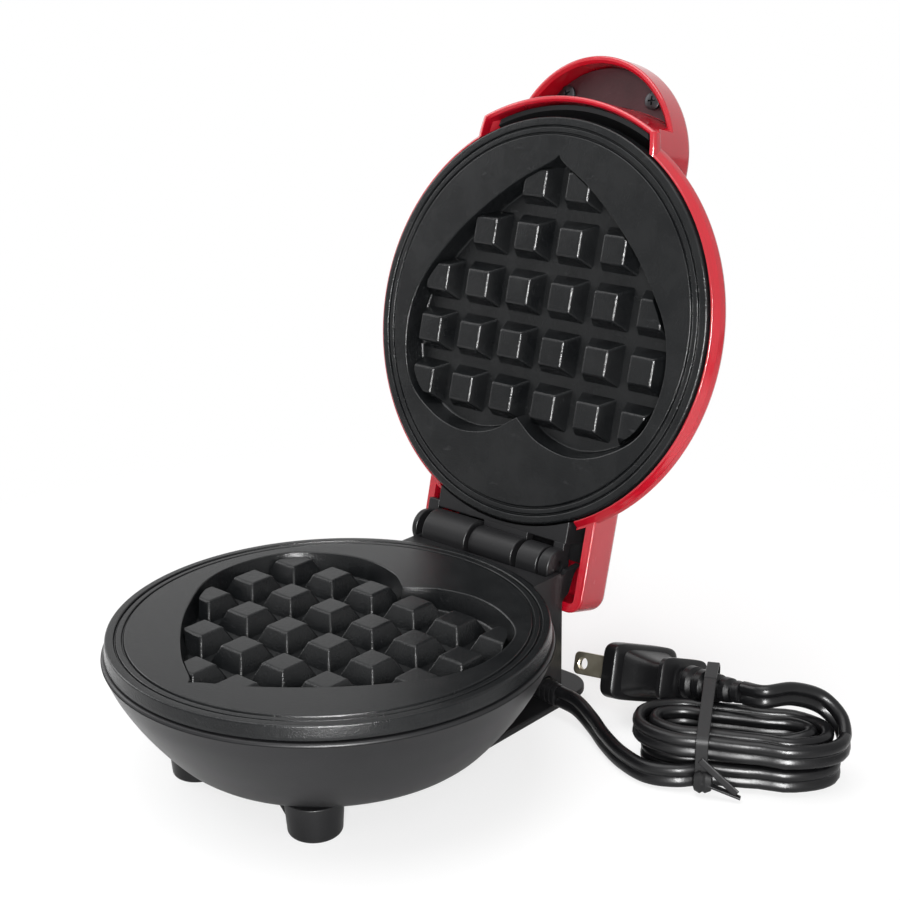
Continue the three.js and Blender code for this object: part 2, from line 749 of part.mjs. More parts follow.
function baseShellSolid() {
  let shell = bowlSolid();
  const hollow = [
    [towerFrontY - bowlWall, bowlFloor], [slantFrontY - bowlWall, -overrun],
    [towerRearY - towerWall, -overrun], [towerRearY - towerWall, troughFloor - towerWall],
    [towerFrontY - bowlWall, troughFloor - towerWall],
  ];
  let tower = prismAcross(towerOutline, [-towerHalfWidth, towerHalfWidth]);
  const insideBowl = revolve([
    [0, bowlFloor], [bowlFlatRadius, bowlFloor], ...bowlInner.slice().reverse(),
    [bowlLipInner, bowlLipHeight], [bowlLipInner, faceHeight], [0, faceHeight],
  ]);
  const wellSpan = [bowlLipHeight, faceHeight + overrun];
  const plateWell = post(0, 0, wellSpan, 2 * (plateSkirtRadius + fitGap), roundSides);
  const trough = block(
    [-hingeLeafHalfWidth, hingeLeafHalfWidth],
    [hingeY - troughReach, hingeY + 2 * towerFlare], [troughFloor, faceHeight + overrun],
  );
  tower = tower.subtract(plateWell).subtract(insideBowl).subtract(trough);
  shell = shell.add(tower);
  const hollowHalf = towerHalfWidth - towerWall;
  shell = shell.subtract(prismAcross(hollow, [-hollowHalf, hollowHalf]));
  baseKnuckles.forEach((span, i) => {
    const radius = baseKnuckleRadii[i];
    const web = block(span, [hingeY - radius, hingeY + radius], [troughFloor - fitGap, hingeHeight]);
    shell = shell.add(join(rod(span, hingeY, hingeHeight, radius), web));
  });
  for (const [x, y] of screwPlaces) {
    shell = shell.add(post(x, y, [bowlBottom + fitGap, pillarTop], pillarDiameter));
    shell = shell.subtract(post(x, y, [-overrun, pillarRecessTop], pillarRecess));
    shell = shell.subtract(post(x, y, [0, pillarTop + overrun], screwBore, screwSides));
  }
  shell = shell.add(post(0, pedestalY, [standThickness + fitGap, bowlFloor], pedestalDiameter));
  for (const side of [-1, 1]) {
    const span = [towerBottom, towerBottom + towerBossHeight];
    shell = shell.add(post(side * towerBossX, bossRowY, span, towerBossDiameter));
  }
  for (const [x, y] of standScrewPlaces) {
    shell = shell.subtract(post(x, y, [-overrun, standScrewTop], screwBore, screwSides));
  }
  return shell.subtract(pinBoreSolid()).subtract(reliefSolid(fitGap));
}

place(base, "base_shell", baseShellSolid(), blackPlastic);

screwPlaces.forEach(([x, y], i) => {
  const headZ = pillarRecessTop - fitGap;
  const reach = faceHeight - elementBottom + plateScrewGrip - headZ;
  place(base, `lower_plate_screw_${i + 1}`, screwSolid(x, y, headZ, reach), steel);
});

// Rear stand, screwed under the pedestal and the tower
function standSolid() {
  const outline = roundedOutline(
    [-standHalfWidth, standHalfWidth],
    [pedestalY - pedestalDiameter / 2 - standFrontMargin, hingeY + standTail],
    [standCorner, standCorner],
  );
  let stand = prismUp(outline, [0, standThickness]);
  for (const [x, y] of standScrewPlaces) {
    const headTop = standThickness / 2 + fitGap;
    stand = stand.subtract(post(x, y, [-overrun, headTop], screwHead + 2 * fitGap, screwSides));
    stand = stand.subtract(post(x, y, [0, standThickness + overrun], screwBore, screwSides));
  }
  return stand;
}

place(base, "rear_stand", standSolid(), blackPlastic);
standScrewPlaces.forEach(([x, y], i) => {
  const head = post(x, y, [fitGap, standThickness / 2], screwHead, screwSides);
  const shankSpan = [standThickness / 2 - fitGap, standScrewTop - fitGap];
  const shank = post(x, y, shankSpan, screwShank, screwSides);
  place(base, `rear_stand_screw_${i + 1}`, join(head, shank), steel);
});

// Front feet: tapered posts with a triangular web toward the middle
function footSolid(side) {
  const top = bowlBottom - fitGap;
  const radius = footFloorDiameter / 2;
  const edge = footEdge * footEdgeShare;
  const shape = revolve([
    [0, 0], [radius - footEdge, 0], [radius - edge, edge], [radius, footEdge],
    [footTopDiameter / 2, top], [0, top],
  ], postSides);
  const webReach = footTopDiameter / 2 + footWebLength;
  const web = prismAcross([
    [-footWebThickness / 2, 0], [footWebThickness / 2, 0],
    [footWebThickness / 2, top], [-footWebThickness / 2, top],
  ], [0, webReach]);
  const cutShape = outlineShape([
    [radius, 0], [webReach + overrun, -overrun], [webReach + overrun, top], [webReach, top],
  ]);
  const cutGeometry = new THREE.ExtrudeGeometry(cutShape, {
    depth: footTopDiameter, bevelEnabled: false,
  });
  cutGeometry.rotateX(Math.PI / 2);
  cutGeometry.translate(0, footTopDiameter / 2, 0);
  const foot = toGeometry(shape.add(web.subtract(toSolid(cutGeometry))));
  if (side > 0) foot.rotateZ(Math.PI);
  const circle = bowlFlatRadius - footCircleInset;
  const angle = THREE.MathUtils.degToRad(footAngle);
  return foot.translate(side * circle * Math.cos(angle), -circle * Math.sin(angle), 0);
}

place(base, "front_foot_left", footSolid(-1), blackPlastic);
place(base, "front_foot_right", footSolid(1), blackPlastic);

// Hinge pin through every knuckle
const hingePin = rod(pinSpan, hingeY, hingeHeight, pinDiameter / 2, screwSides);
place(base, "hinge_pin", hingePin, steel);

// Terminal block on the floor of the bowl
const blockBottom = bowlFloor + fitGap;
const blockTop = faceHeight - trayBottom - blockHeadroom;
let terminalBlock = block(
  [-blockLength / 2, blockLength / 2], [blockY - blockWidth / 2, blockY + blockWidth / 2],
  [blockBottom, blockTop],
);
for (const side of [-1, 1]) {
  const holeSpan = [(blockBottom + blockTop) / 2, blockTop + overrun];
  const wireHole = post((side * blockLength) / 4, blockY, holeSpan, screwBore, screwSides);
  terminalBlock = terminalBlock.subtract(wireHole);
}
place(base, "terminal_block", terminalBlock, ceramic);

// Lid shell: dome, front lip, handle bill and hinge tail
const frameDepth = trayBottom + fitGap;
const lidHeight = frameDepth + frameThickness + lidRoom;
const domeOuter = domeOutlineShares.map(([r, h]) => [r * lidRimRadius, depth(h * lidHeight)]);
const insetRim = (profile) => [[profile[0][0], profile[0][1] - overrun], ...profile.slice(1)];
const domeInner = insetRim(insetProfile(domeOuter, lidWall));
const panelDepth = billRoof - billRoofWall - panelThickness - fitGap;
const panelScrewY = -lipRadius - panelScrewStandOff;
const panelScrewX = Math.sqrt(
  (billRadius - billWall - panelScrewInset) ** 2 - (panelScrewY - billCentreY) ** 2,
);
const riserY = trayRadius + trayLip + 2 * fitGap;
const notchFrontY = riserY - notchReach;
const frameBridgeDepth = tailDepth - tailRoof - frameThickness - frameBridgeRoom;
const frameScrewY = riserY + frameScrewBack;
const lensY = lensInset - lidRimRadius;

function domeSolid(outline, rimHeight) {
  return revolve([[0, rimHeight], [outline[0][0], rimHeight], ...outline.slice(1)]);
}

function tailSolid() {
  const half = tailHalfWidth - tailRound;
  const outline = roundedOutline(
    [-half, half], [-tailRound, tailEndY - tailRound], [tailRound, tailCorner - tailRound + fitGap],
  );
  const geometry = new THREE.ExtrudeGeometry(outline, {
    depth: tailDepth, bevelSize: tailRound, bevelThickness: tailRound,
    bevelSegments: cornerSegments / 2, curveSegments: cornerSegments / 2,
  });
  geometry.translate(0, 0, depth(-tailRound));
  const front = block(
    [-lidRimRadius, lidRimRadius], [-lidRimRadius, tailEndY + overrun], [0, depth(lidRimDepth)],
  );
  return toSolid(geometry).subtract(front);
}

function lidShellSolid() {
  const rim = depth(lidRimDepth);
  const dome = domeSolid(domeOuter, rim);
  const roof = depth(billRoof);
  const front = block(
    [-lipHalfWidth, lipHalfWidth], [-lipRadius - overrun, 0], [depth(lipDepth), roof],
  );
  const collarSpan = [depth(lipDepth), roof - billRound / 2];
  const collar = post(0, 0, collarSpan, 2 * lipRadius, roundSides).intersect(front);
  const corner = billRound * billRoundShare;
  const bill = revolve([
    [0, depth(billEdgeDepth)], [billRadius, depth(billEdgeDepth)], [billRadius, roof - billRound],
    [billRadius - corner, roof - corner], [billRadius - billRound, roof], [0, roof],
  ]);
  const billMoved = bill.translate([0, billCentreY, 0]);
  const innerHalf = tailHalfWidth - tailWall;
  const tailInner = depth(tailDepth - tailRoof);
  const channel = block(
    [-innerHalf, innerHalf], [0, tailEndY - tailWall], [rim - overrun, tailInner],
  ).subtract(dome);
  const tail = tailSolid().subtract(channel);
  let shell = join(dome, collar, billMoved, tail);
  const frontRoom = block(
    [-lipHalfWidth + lipWall, lipHalfWidth - lipWall], [-lipRadius, billCentreY], [0, roof],
  );
  const frontCavity = post(0, 0, [0, depth(panelDepth)], 2 * (lipRadius - lipWall), roundSides)
    .intersect(frontRoom);
  const recessSpan = [0, depth(panelDepth + panelThickness + fitGap)];
  const recess = post(0, billCentreY, recessSpan, 2 * (billRadius - billWall), roundSides)
    .subtract(post(0, 0, [0, roof + overrun], 2 * lipRadius, roundSides));
  const notchHalf = hingeLeafHalfWidth + notchSideGap;
  const notch = block([-notchHalf, notchHalf], [notchFrontY, hingeY], [0, tailInner]);
  shell = shell.subtract(domeSolid(domeInner, 0)).subtract(frontCavity);
  shell = shell.subtract(recess).subtract(notch);
  const bossSpan = [
    depth(frameBridgeDepth + frameThickness + fitGap), depth(tailDepth - tailRoof / 2),
  ];
  for (const side of [-1, 1]) {
    const x = side * frameScrewX;
    shell = shell.add(post(x, frameScrewY, bossSpan, tailBossDiameter));
    shell = shell.subtract(post(x, frameScrewY, [0, tailInner], screwBore, screwSides));
    const boreEnd = roof - panelScrewEnd;
    shell = shell.subtract(
      post(side * panelScrewX, panelScrewY, [0, boreEnd], screwBore, screwSides),
    );
  }
  const lensHole = [0, depth(lidHeight + overrun)];
  return shell.subtract(post(0, lensY, lensHole, lensDiameter + 2 * fitGap, postSides));
}

place(closedLid, "lid_shell", lidShellSolid(), redPlastic);

// Dark panel in the underside of the handle, held by two screws
function panelSolid() {
  const span = [depth(panelDepth), depth(panelDepth + panelThickness)];
  let panel = post(0, billCentreY, span, 2 * (billRadius - billWall - fitGap), roundSides)
    .subtract(post(0, 0, [0, depth(lidHeight)], 2 * (lipRadius + fitGap), roundSides));
  for (const side of [-1, 1]) {
    const bore = post(side * panelScrewX, panelScrewY, span, screwBore, screwSides);
    panel = panel.subtract(bore);
  }
  return panel;
}

place(closedLid, "handle_panel", panelSolid(), darkRedPlastic);
["left", "right"].forEach((name, i) => {
  const x = (i * 2 - 1) * panelScrewX;
  const headZ = depth(panelDepth) - fitGap;
  const reach = depth(billRoof) - panelScrewEnd - 2 * fitGap - headZ;
  place(closedLid, `handle_screw_${name}`, screwSolid(x, panelScrewY, headZ, reach), steel);
});

// Lid frame: ring behind the upper tray, bridge through the rim and hinge leaf
const frameRingInner = screwCircle - frameRingInset;

function lidFrameSolid() {
  const ringSpan = [depth(frameDepth), depth(frameDepth + frameThickness)];
  const ringOuter = trayRadius + trayLip + frameRingOverhang;
  let frame = post(0, 0, ringSpan, 2 * ringOuter, hiddenSides)
    .subtract(post(0, 0, [0, depth(lidHeight)], 2 * frameRingInner, hiddenSides));
  const half = hingeLeafHalfWidth;
  const bridgeSpan = [depth(frameBridgeDepth), depth(frameBridgeDepth + frameThickness)];
  const leafRearY = hingeY - hingeLeafGap;
  const riserSpan = [riserY, riserY + frameThickness];
  const riser = block([-half, half], riserSpan, [bridgeSpan[0], ringSpan[1]]);
  const foot = block([-half, half], [riserY - frameFootReach, riserSpan[1]], ringSpan);
  const bridge = block([-half, half], [riserY, leafRearY], bridgeSpan);
  const wellSpan = [0, depth(frameBridgeDepth)];
  const well = post(0, 0, wellSpan, 2 * (plateSkirtRadius + fitGap), roundSides);
  const wallSpan = [depth(hingeLeafNear), bridgeSpan[1]];
  const wall = block([-half, half], [plateBackRadius, leafRearY], wallSpan).subtract(well);
  const notchRoof = depth(tailDepth - tailRoof) - fitGap;
  const room = join(
    domeSolid(insetRim(insetProfile(domeOuter, lidWall + fitGap)), 0),
    block([-half, half], [notchFrontY + fitGap, hingeY], [0, notchRoof]),
  );
  frame = join(join(frame, foot, riser, bridge).intersect(room), wall);
  const neckSpan = [depth(hingeLeafNear), depth(hingeLeafNear + hingeLeafThickness)];
  for (const span of lidKnuckles) {
    frame = frame.add(rod(span, hingeY, hingeHeight, lidKnuckleRadius));
    frame = frame.add(block(span, [leafRearY - fitGap, hingeY], neckSpan));
  }
  frame = frame.add(block(
    [lidKnuckles[0][0], -half + fitGap],
    [leafRearY - frameThickness, leafRearY + frameThickness],
    [depth(hingeLeafNear), depth(lidRimDepth - fitGap)],
  ));
  const through = [0, depth(lidHeight)];
  for (const [x, y] of [...screwPlaces, [-frameScrewX, frameScrewY], [frameScrewX, frameScrewY]]) {
    frame = frame.subtract(post(x, y, through, screwBore, screwSides));
  }
  for (const [x, y] of terminalPlaces) {
    frame = frame.subtract(post(x, y, through, elementTerminal * 2, screwSides));
  }
  return frame.subtract(pinBoreSolid());
}

place(closedLid, "lid_frame", lidFrameSolid(), blackPlastic);
screwPlaces.forEach(([x, y], i) => {
  const headZ = depth(frameDepth + frameThickness + fitGap);
  const reach = headZ - depth(elementBottom - plateScrewGrip);
  place(closedLid, `upper_plate_screw_${i + 1}`, hangingScrewSolid(-x, y, headZ, reach), steel);
});
["left", "right"].forEach((name, i) => {
  const x = (i * 2 - 1) * frameScrewX;
  const headZ = depth(frameBridgeDepth) - fitGap;
  const screw = screwSolid(x, frameScrewY, headZ, frameThickness + frameScrewBite);
  place(closedLid, `lid_frame_screw_${name}`, screw, steel);
});

// Thermostat on the upper tray, thermal fuse and lamp on the frame, lens under the dome
const trayBack = depth(trayBottom + fitGap);
const frameBack = depth(frameDepth + frameThickness + fitGap);
const thermostatY = thermostatInset + thermostatDiameter / 2 - frameRingInner;
const earReach = thermostatDiameter / 2 + thermostatEarReach;
const thermostat = join(
  post(0, thermostatY, [trayBack, trayBack + thermostatHeight], thermostatDiameter),
  block(
    [-earReach, earReach],
    [thermostatY - thermostatEarWidth / 2, thermostatY + thermostatEarWidth / 2],
    thermostatEarShares.map((share) => trayBack + thermostatHeight * share),
  ),
);
place(closedLid, "thermostat", thermostat, phenolic);

const fuseStart = frameRingInner + fuseInset;
const fuse = rod(
  [fuseStart, fuseStart + fuseLength], 0, frameBack + fuseDiameter / 2, fuseDiameter / 2, screwSides,
);
place(closedLid, "thermal_fuse", fuse, tinned);

const lensFlangeTop = depth(lidHeight - lidWall - lensFlangeRoom);
const lensFlangeBottom = lensFlangeTop - lensFlangeThickness;
const lampSpan = [frameBack, lensFlangeBottom - fitGap];
place(closedLid, "indicator_lamp", post(0, lensY, lampSpan, lampDiameter), phenolic);
const lensTop = depth(lidHeight - lidWall + lensStand);
const lens = join(
  post(0, lensY, [lensFlangeBottom, lensFlangeTop], lensFlange),
  post(0, lensY, [lensFlangeBottom, lensTop], lensDiameter),
);
place(closedLid, "indicator_lens", lens, lensBlue);

// Cord: tapered strain relief, free lead on the floor and the hank
place(base, "cord_strain_relief", reliefSolid(0), cordBlack);

const turnHeading = THREE.MathUtils.degToRad(hankHeading);
const hankAlong = new THREE.Vector3(Math.cos(turnHeading), Math.sin(turnHeading), 0);
const hankAside = new THREE.Vector3(-Math.sin(turnHeading), Math.cos(turnHeading), 0);
const hankOrigin = new THREE.Vector3(...hankCentre, 0);
const layerHeights = [0, 1].map((layer) => (
  hankLift + cordWidth / 2 + layer * (cordWidth + hankLayerGap)
));

function hankPlace(along, aside, height) {
  const point = hankOrigin.clone().addScaledVector(hankAlong, along);
  return point.addScaledVector(hankAside, aside).setZ(height);
}

// A turn starts at the waist on the near side, runs to the right and comes back on the far side
function hankPoint(turn) {
  const reach = hankInner + hankPitch * Math.abs(turn - hankLoops);
  const angle = (turn % 1) * 2 * Math.PI - Math.PI / 2;
  const half = hankRun / 2;
  const along = Math.cos(angle) * (half + reach);
  const waist = 1 - THREE.MathUtils.smoothstep(Math.abs(along) / half, ...hankWaistShares);
  const bow = Math.sign(Math.sin(angle)) * Math.abs(Math.sin(angle)) ** hankBowShare;
  const climb = THREE.MathUtils.smoothstep(
    turn, hankLoops - hankClimbShare, hankLoops + hankClimbShare,
  );
  const height = layerHeights[0] + climb * (layerHeights[1] - layerHeights[0]);
  return hankPlace(along, bow * (reach - hankWaist * waist), height);
}

// The plug points to the left and lies with its strain relief on the hank
const plugEnd = new THREE.Vector3(...plugReliefEnd);
const plugAxis = new THREE.Vector3(...plugFront).sub(plugEnd);
const plugLength = plugAxis.length();
plugAxis.normalize();
const plugSide = new THREE.Vector3(...plugAcross);
plugSide.addScaledVector(plugAxis, -plugSide.dot(plugAxis)).normalize();
const plugUp = plugAxis.clone().cross(plugSide);

const hankTurns = 2 * hankLoops + hankClimbShare;
const hankPoints = [];
for (let i = 0; i <= hankTurns * hankStepsPerLoop; i += 1) {
  hankPoints.push(hankPoint(i / hankStepsPerLoop));
}
const tailEnd = plugEnd.clone().addScaledVector(plugAxis, -fitGap);
const tailCurve = new THREE.CatmullRomCurve3([
  hankPoints[hankPoints.length - 2], hankPoints[hankPoints.length - 1],
  ...hankTail.map(([u, v, z]) => hankPlace(u, v, z)),
  tailEnd.clone().addScaledVector(plugAxis, -cordWidth), tailEnd,
]);
const tailPoints = tailCurve.getPoints(hankStepsPerLoop).filter((p) => (
  p.distanceTo(hankPoints[hankPoints.length - 2]) > hankPoints[1].distanceTo(hankPoints[0])
));
hankPoints.push(...tailPoints.slice(1));

const hank = sweepRings(hankPoints, () => [cordThickness, cordWidth], hankSides);
console.log(`hank: least gap to itself ${leastGap(hank, hankSides).toFixed(2)} mm`);
place(base, "cord_hank", ringsToSolid(hank, hankSides), cordBlack);

const exitPoint = reliefEnd.clone().addScaledVector(reliefDirection, fitGap);
const straightPoint = exitPoint.clone().addScaledVector(reliefDirection, cordWidth);
const hankStart = hankPoints[0];
const hankStartHeading = hankPoints[1].clone().sub(hankPoints[0]).normalize();
const leadEnd = hankStart.clone().addScaledVector(hankStartHeading, -fitGap);
const leadBeforeEnd = leadEnd.clone().addScaledVector(hankStartHeading, -cordWidth);
const leadCurve = new THREE.CatmullRomCurve3([
  straightPoint, ...leadRoute.map((p) => new THREE.Vector3(...p)), leadBeforeEnd,
]);
const leadPoints = [exitPoint, ...leadCurve.getPoints(leadSteps), leadEnd];
const lead = sweep(leadPoints, () => [cordThickness, cordWidth], leadSides);
place(base, "cord_lead", lead, cordBlack);

// Plug: flange, waisted grip and ribbed strain relief, drawn along its own axis
function plugSolid() {
  const squareness = plugSquarenessShares;
  const gripStart = plugLength - plugGripLength;
  const flangeBack = plugLength - plugFlangeThickness;
  const ribStep = gripStart / plugRibs;
  const sections = [];
  for (let rib = 0; rib < plugRibs; rib += 1) {
    const taper = (plugReliefDiameter - plugReliefTip) * (rib / (plugRibs - 1));
    const size = plugReliefTip + taper;
    plugRibShares.forEach((share, i) => {
      const width = i < 2 ? size : size - 2 * plugRibDepth;
      sections.push([(rib + share) * ribStep, width, width, squareness.relief]);
    });
  }
  const [step, wide, tall] = [plugRibDepth, plugGripWidth, plugGripHeight];
  sections.push(
    [gripStart, wide, tall, squareness.grip],
    [gripStart + 2 * step, wide, tall, squareness.grip],
    [gripStart + 3 * step, plugWaistWidth, tall - step, squareness.grip],
    [(gripStart + flangeBack) / 2, plugWaistWidth + step, tall, squareness.grip],
    [flangeBack - step, wide + step, tall + step, squareness.shoulder],
    [flangeBack, plugFlangeWidth, plugFlangeHeight, squareness.flange],
    [plugLength - step, plugFlangeWidth, plugFlangeHeight, squareness.flange],
    [plugLength, plugFlangeWidth - step, plugFlangeHeight - step, squareness.flange],
  );
  const rings = sections.map(([along, width, height, power]) => (
    superEllipse(width, height, power, plugSides).map(([a, b]) => new THREE.Vector3(along, a, b))
  ));
  return ringsToSolid(rings, plugSides);
}

const plug = new THREE.Group();
plug.position.copy(plugEnd);
plug.quaternion.setFromRotationMatrix(new THREE.Matrix4().makeBasis(plugAxis, plugSide, plugUp));
base.add(plug);
place(plug, "plug_body", plugSolid(), cordBlack);
["narrow", "wide"].forEach((name, i) => {
  const aside = ((i * 2 - 1) * bladeSpacing) / 2;
  const halfWidth = bladeWidths[i] / 2;
  const span = [plugLength + fitGap, plugLength + fitGap + bladeLength];
  const blade = block(
    span, [aside - bladeThickness / 2, aside + bladeThickness / 2], [-halfWidth, halfWidth],
  );
  const hole = new THREE.CylinderGeometry(bladeHole / 2, bladeHole / 2, 2 * bladeThickness, screwSides);
  hole.translate(span[1] - bladeHoleInset, aside, 0);
  place(plug, `plug_blade_${name}`, blade.subtract(toSolid(hole)), nickel);
});

// Tie round the hank and the end of the plug's strain relief
function tieSolid() {
  const outer = new THREE.Shape(tieRoute.map(([v, z]) => new THREE.Vector2(v, z)));
  const count = tieRoute.length;
  const inner = tieRoute.map((corner, i) => {
    const here = new THREE.Vector2(...corner);
    const before = new THREE.Vector2(...tieRoute[(i + count - 1) % count]);
    const after = new THREE.Vector2(...tieRoute[(i + 1) % count]);
    const [sideIn, sideOut] = [here.clone().sub(before), after.clone().sub(here)].map((along) => (
      new THREE.Vector2(along.y, -along.x).normalize()
    ));
    const inward = sideIn.clone().add(sideOut).normalize();
    return here.addScaledVector(inward, tieThickness / inward.dot(sideIn));
  });
  outer.holes.push(new THREE.Path(inner.reverse()));
  return toSolid(new THREE.ExtrudeGeometry(outer, { depth: tieWidth, bevelEnabled: false }));
}

const tie = new THREE.Group();
tie.position.copy(hankPlace(tieAlong - tieWidth / 2, 0, 0));
tie.quaternion.setFromRotationMatrix(new THREE.Matrix4().makeBasis(
  hankAside, new THREE.Vector3(0, 0, 1), hankAside.clone().cross(new THREE.Vector3(0, 0, 1)),
));
base.add(tie);
place(tie, "cord_tie", tieSolid(), cordBlack);

// Origin: on the floor under the middle of the appliance, measured without the cord
const cordNodes = new Set([
  "cord_strain_relief", "cord_lead", "cord_hank", "cord_tie",
  "plug_body", "plug_blade_narrow", "plug_blade_wide",
]);
wafflemaker.updateMatrixWorld(true);
const extent = new THREE.Box3();
wafflemaker.traverse((node) => {
  if (!node.isMesh || cordNodes.has(node.name)) return;
  extent.union(new THREE.Box3().setFromObject(node, true));
});
const middle = extent.getCenter(new THREE.Vector3());
wafflemaker.position.set(-middle.x, -middle.y, -extent.min.z);
wafflemaker.updateMatrixWorld(true);

export default wafflemaker;
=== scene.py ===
import json
import math

import bmesh
import bpy
from mathutils import Matrix, Vector


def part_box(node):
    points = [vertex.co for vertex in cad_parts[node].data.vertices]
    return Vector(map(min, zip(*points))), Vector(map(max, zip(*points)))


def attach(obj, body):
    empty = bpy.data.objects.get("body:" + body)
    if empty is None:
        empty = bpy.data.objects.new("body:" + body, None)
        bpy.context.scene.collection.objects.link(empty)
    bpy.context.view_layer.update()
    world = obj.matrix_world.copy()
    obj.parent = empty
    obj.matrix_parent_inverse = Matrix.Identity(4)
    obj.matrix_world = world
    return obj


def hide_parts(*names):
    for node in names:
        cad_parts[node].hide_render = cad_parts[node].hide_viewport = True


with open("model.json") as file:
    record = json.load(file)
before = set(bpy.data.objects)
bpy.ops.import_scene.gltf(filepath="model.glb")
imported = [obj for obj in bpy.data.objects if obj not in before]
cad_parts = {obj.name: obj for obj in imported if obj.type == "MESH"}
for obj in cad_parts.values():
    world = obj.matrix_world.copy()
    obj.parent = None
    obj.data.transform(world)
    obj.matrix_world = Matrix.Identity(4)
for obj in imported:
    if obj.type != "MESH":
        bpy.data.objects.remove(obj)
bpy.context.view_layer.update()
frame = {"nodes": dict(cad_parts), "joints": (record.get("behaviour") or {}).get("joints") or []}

# Camera: it stands above the right front corner and looks a little down, as the photograph does.
# Focal length, place and angles were solved from the circles of the two plates.
camera_place = Vector((0.279656, -0.294025, 0.214287))
camera_azimuth = math.radians(42.145)
camera_elevation = math.radians(18.628)
camera_roll = math.radians(-0.883)
camera_back = Vector((
    math.sin(camera_azimuth) * math.cos(camera_elevation),
    -math.cos(camera_azimuth) * math.cos(camera_elevation),
    math.sin(camera_elevation),
))
level_right = Vector((math.cos(camera_azimuth), math.sin(camera_azimuth), 0))
level_up = camera_back.cross(level_right)
camera_right = level_right * math.cos(camera_roll) + level_up * math.sin(camera_roll)
camera_up = level_up * math.cos(camera_roll) - level_right * math.sin(camera_roll)
camera = bpy.data.objects.new("camera", bpy.data.cameras.new("camera"))
bpy.context.scene.collection.objects.link(camera)
camera.data.lens = 64.67
camera.data.sensor_width = 36
camera.data.clip_start = 0.01
camera.data.clip_end = 20
camera.matrix_world = (
    Matrix.Translation(camera_place)
    @ Matrix((camera_right, camera_up, camera_back)).transposed().to_4x4()
)
bpy.context.scene.camera = camera


# Power cord: a flat two-core lead in glossy black PVC. It leaves the base at the rear right, runs
# along the worktop and is folded into a hank of four loops. Pieces are drawn in millimetres round
# the upright axis of the lower plate, and scaled to metres as they are put in place.
def smoothstep(value, low, high):
    share = min(max((value - low) / (high - low), 0), 1)
    return share * share * (3 - 2 * share)


def smooth_route(points, steps, power=0.5):
    """A curve through the points; power 0.5 is how a bent lead lies, 0 is a drawn outline."""
    size = len(points[0])
    points = [Vector(p) for p in points]
    points = [2 * points[0] - points[1], *points, 2 * points[-1] - points[-2]]
    route = []
    for a, b, c, d in zip(points, points[1:], points[2:], points[3:]):
        t1 = max((b - a).length, 1e-6) ** power
        t2 = t1 + max((c - b).length, 1e-6) ** power
        t3 = t2 + max((d - c).length, 1e-6) ** power
        for i in range(steps):
            t = t1 + (t2 - t1) * i / steps
            ab = a * ((t1 - t) / t1) + b * (t / t1)
            bc = b * ((t2 - t) / (t2 - t1)) + c * ((t - t1) / (t2 - t1))
            cd = c * ((t3 - t) / (t3 - t2)) + d * ((t - t2) / (t3 - t2))
            abc = ab * ((t2 - t) / t2) + bc * (t / t2)
            bcd = bc * ((t3 - t) / (t3 - t1)) + cd * ((t - t1) / (t3 - t1))
            route.append(abc * ((t2 - t) / (t2 - t1)) + bcd * ((t - t1) / (t2 - t1)))
    route.append(points[-2])
    return [tuple(p)[:size] for p in route]


def arc(centre, radius, start, end, steps):
    """Points on a round stretch of an outline, between two angles in degrees."""
    turns = [math.radians(start + (end - start) * i / steps) for i in range(steps + 1)]
    return [(centre[0] + radius * math.cos(t), centre[1] + radius * math.sin(t)) for t in turns]


def swept(points, section, closed=False):
    """A closed tube along the points; section is its outline, first aside and then up."""
    outline = bpy.data.curves.new("outline", "CURVE")
    outline.dimensions = "2D"
    spline = outline.splines.new("POLY")
    spline.points.add(len(section) - 1)
    for point, (aside, rise) in zip(spline.points, section):
        point.co = (aside, rise, 0, 1)
    spline.use_cyclic_u = True
    outline_object = bpy.data.objects.new("outline", outline)
    path = bpy.data.curves.new("path", "CURVE")
    path.dimensions = "3D"
    path.twist_mode = "Z_UP"
    path.bevel_mode = "OBJECT"
    path.bevel_object = outline_object
    path.use_fill_caps = not closed
    spline = path.splines.new("POLY")
    spline.points.add(len(points) - 1)
    for point, place in zip(spline.points, points):
        point.co = (*place, 1)
    spline.use_cyclic_u = closed
    path_object = bpy.data.objects.new("path", path)
    bpy.context.scene.collection.objects.link(outline_object)
    bpy.context.scene.collection.objects.link(path_object)
    graph = bpy.context.evaluated_depsgraph_get()
    mesh = bpy.data.meshes.new_from_object(path_object.evaluated_get(graph))
    bm = bmesh.new()
    bm.from_mesh(mesh)
    bmesh.ops.remove_doubles(bm, verts=bm.verts, dist=1e-4)
    bmesh.ops.recalc_face_normals(bm, faces=bm.faces)
    bpy.data.meshes.remove(mesh)
    for made in (path_object, outline_object):
        curve = made.data
        bpy.data.objects.remove(made)
        bpy.data.curves.remove(curve)
    return bm


def add_node(tree, kind, values=None, **settings):
    node = tree.nodes.new(kind)
    for name, value in settings.items():
        setattr(node, name, value)
    for socket, value in (values or {}).items():
        node.inputs[socket].default_value = value
    return node


def wire(tree, *pairs):
    """Each pair leads an output of one node to an input of another."""
    for source, output, target, socket in pairs:
        tree.links.new(source.outputs[output], target.inputs[socket])


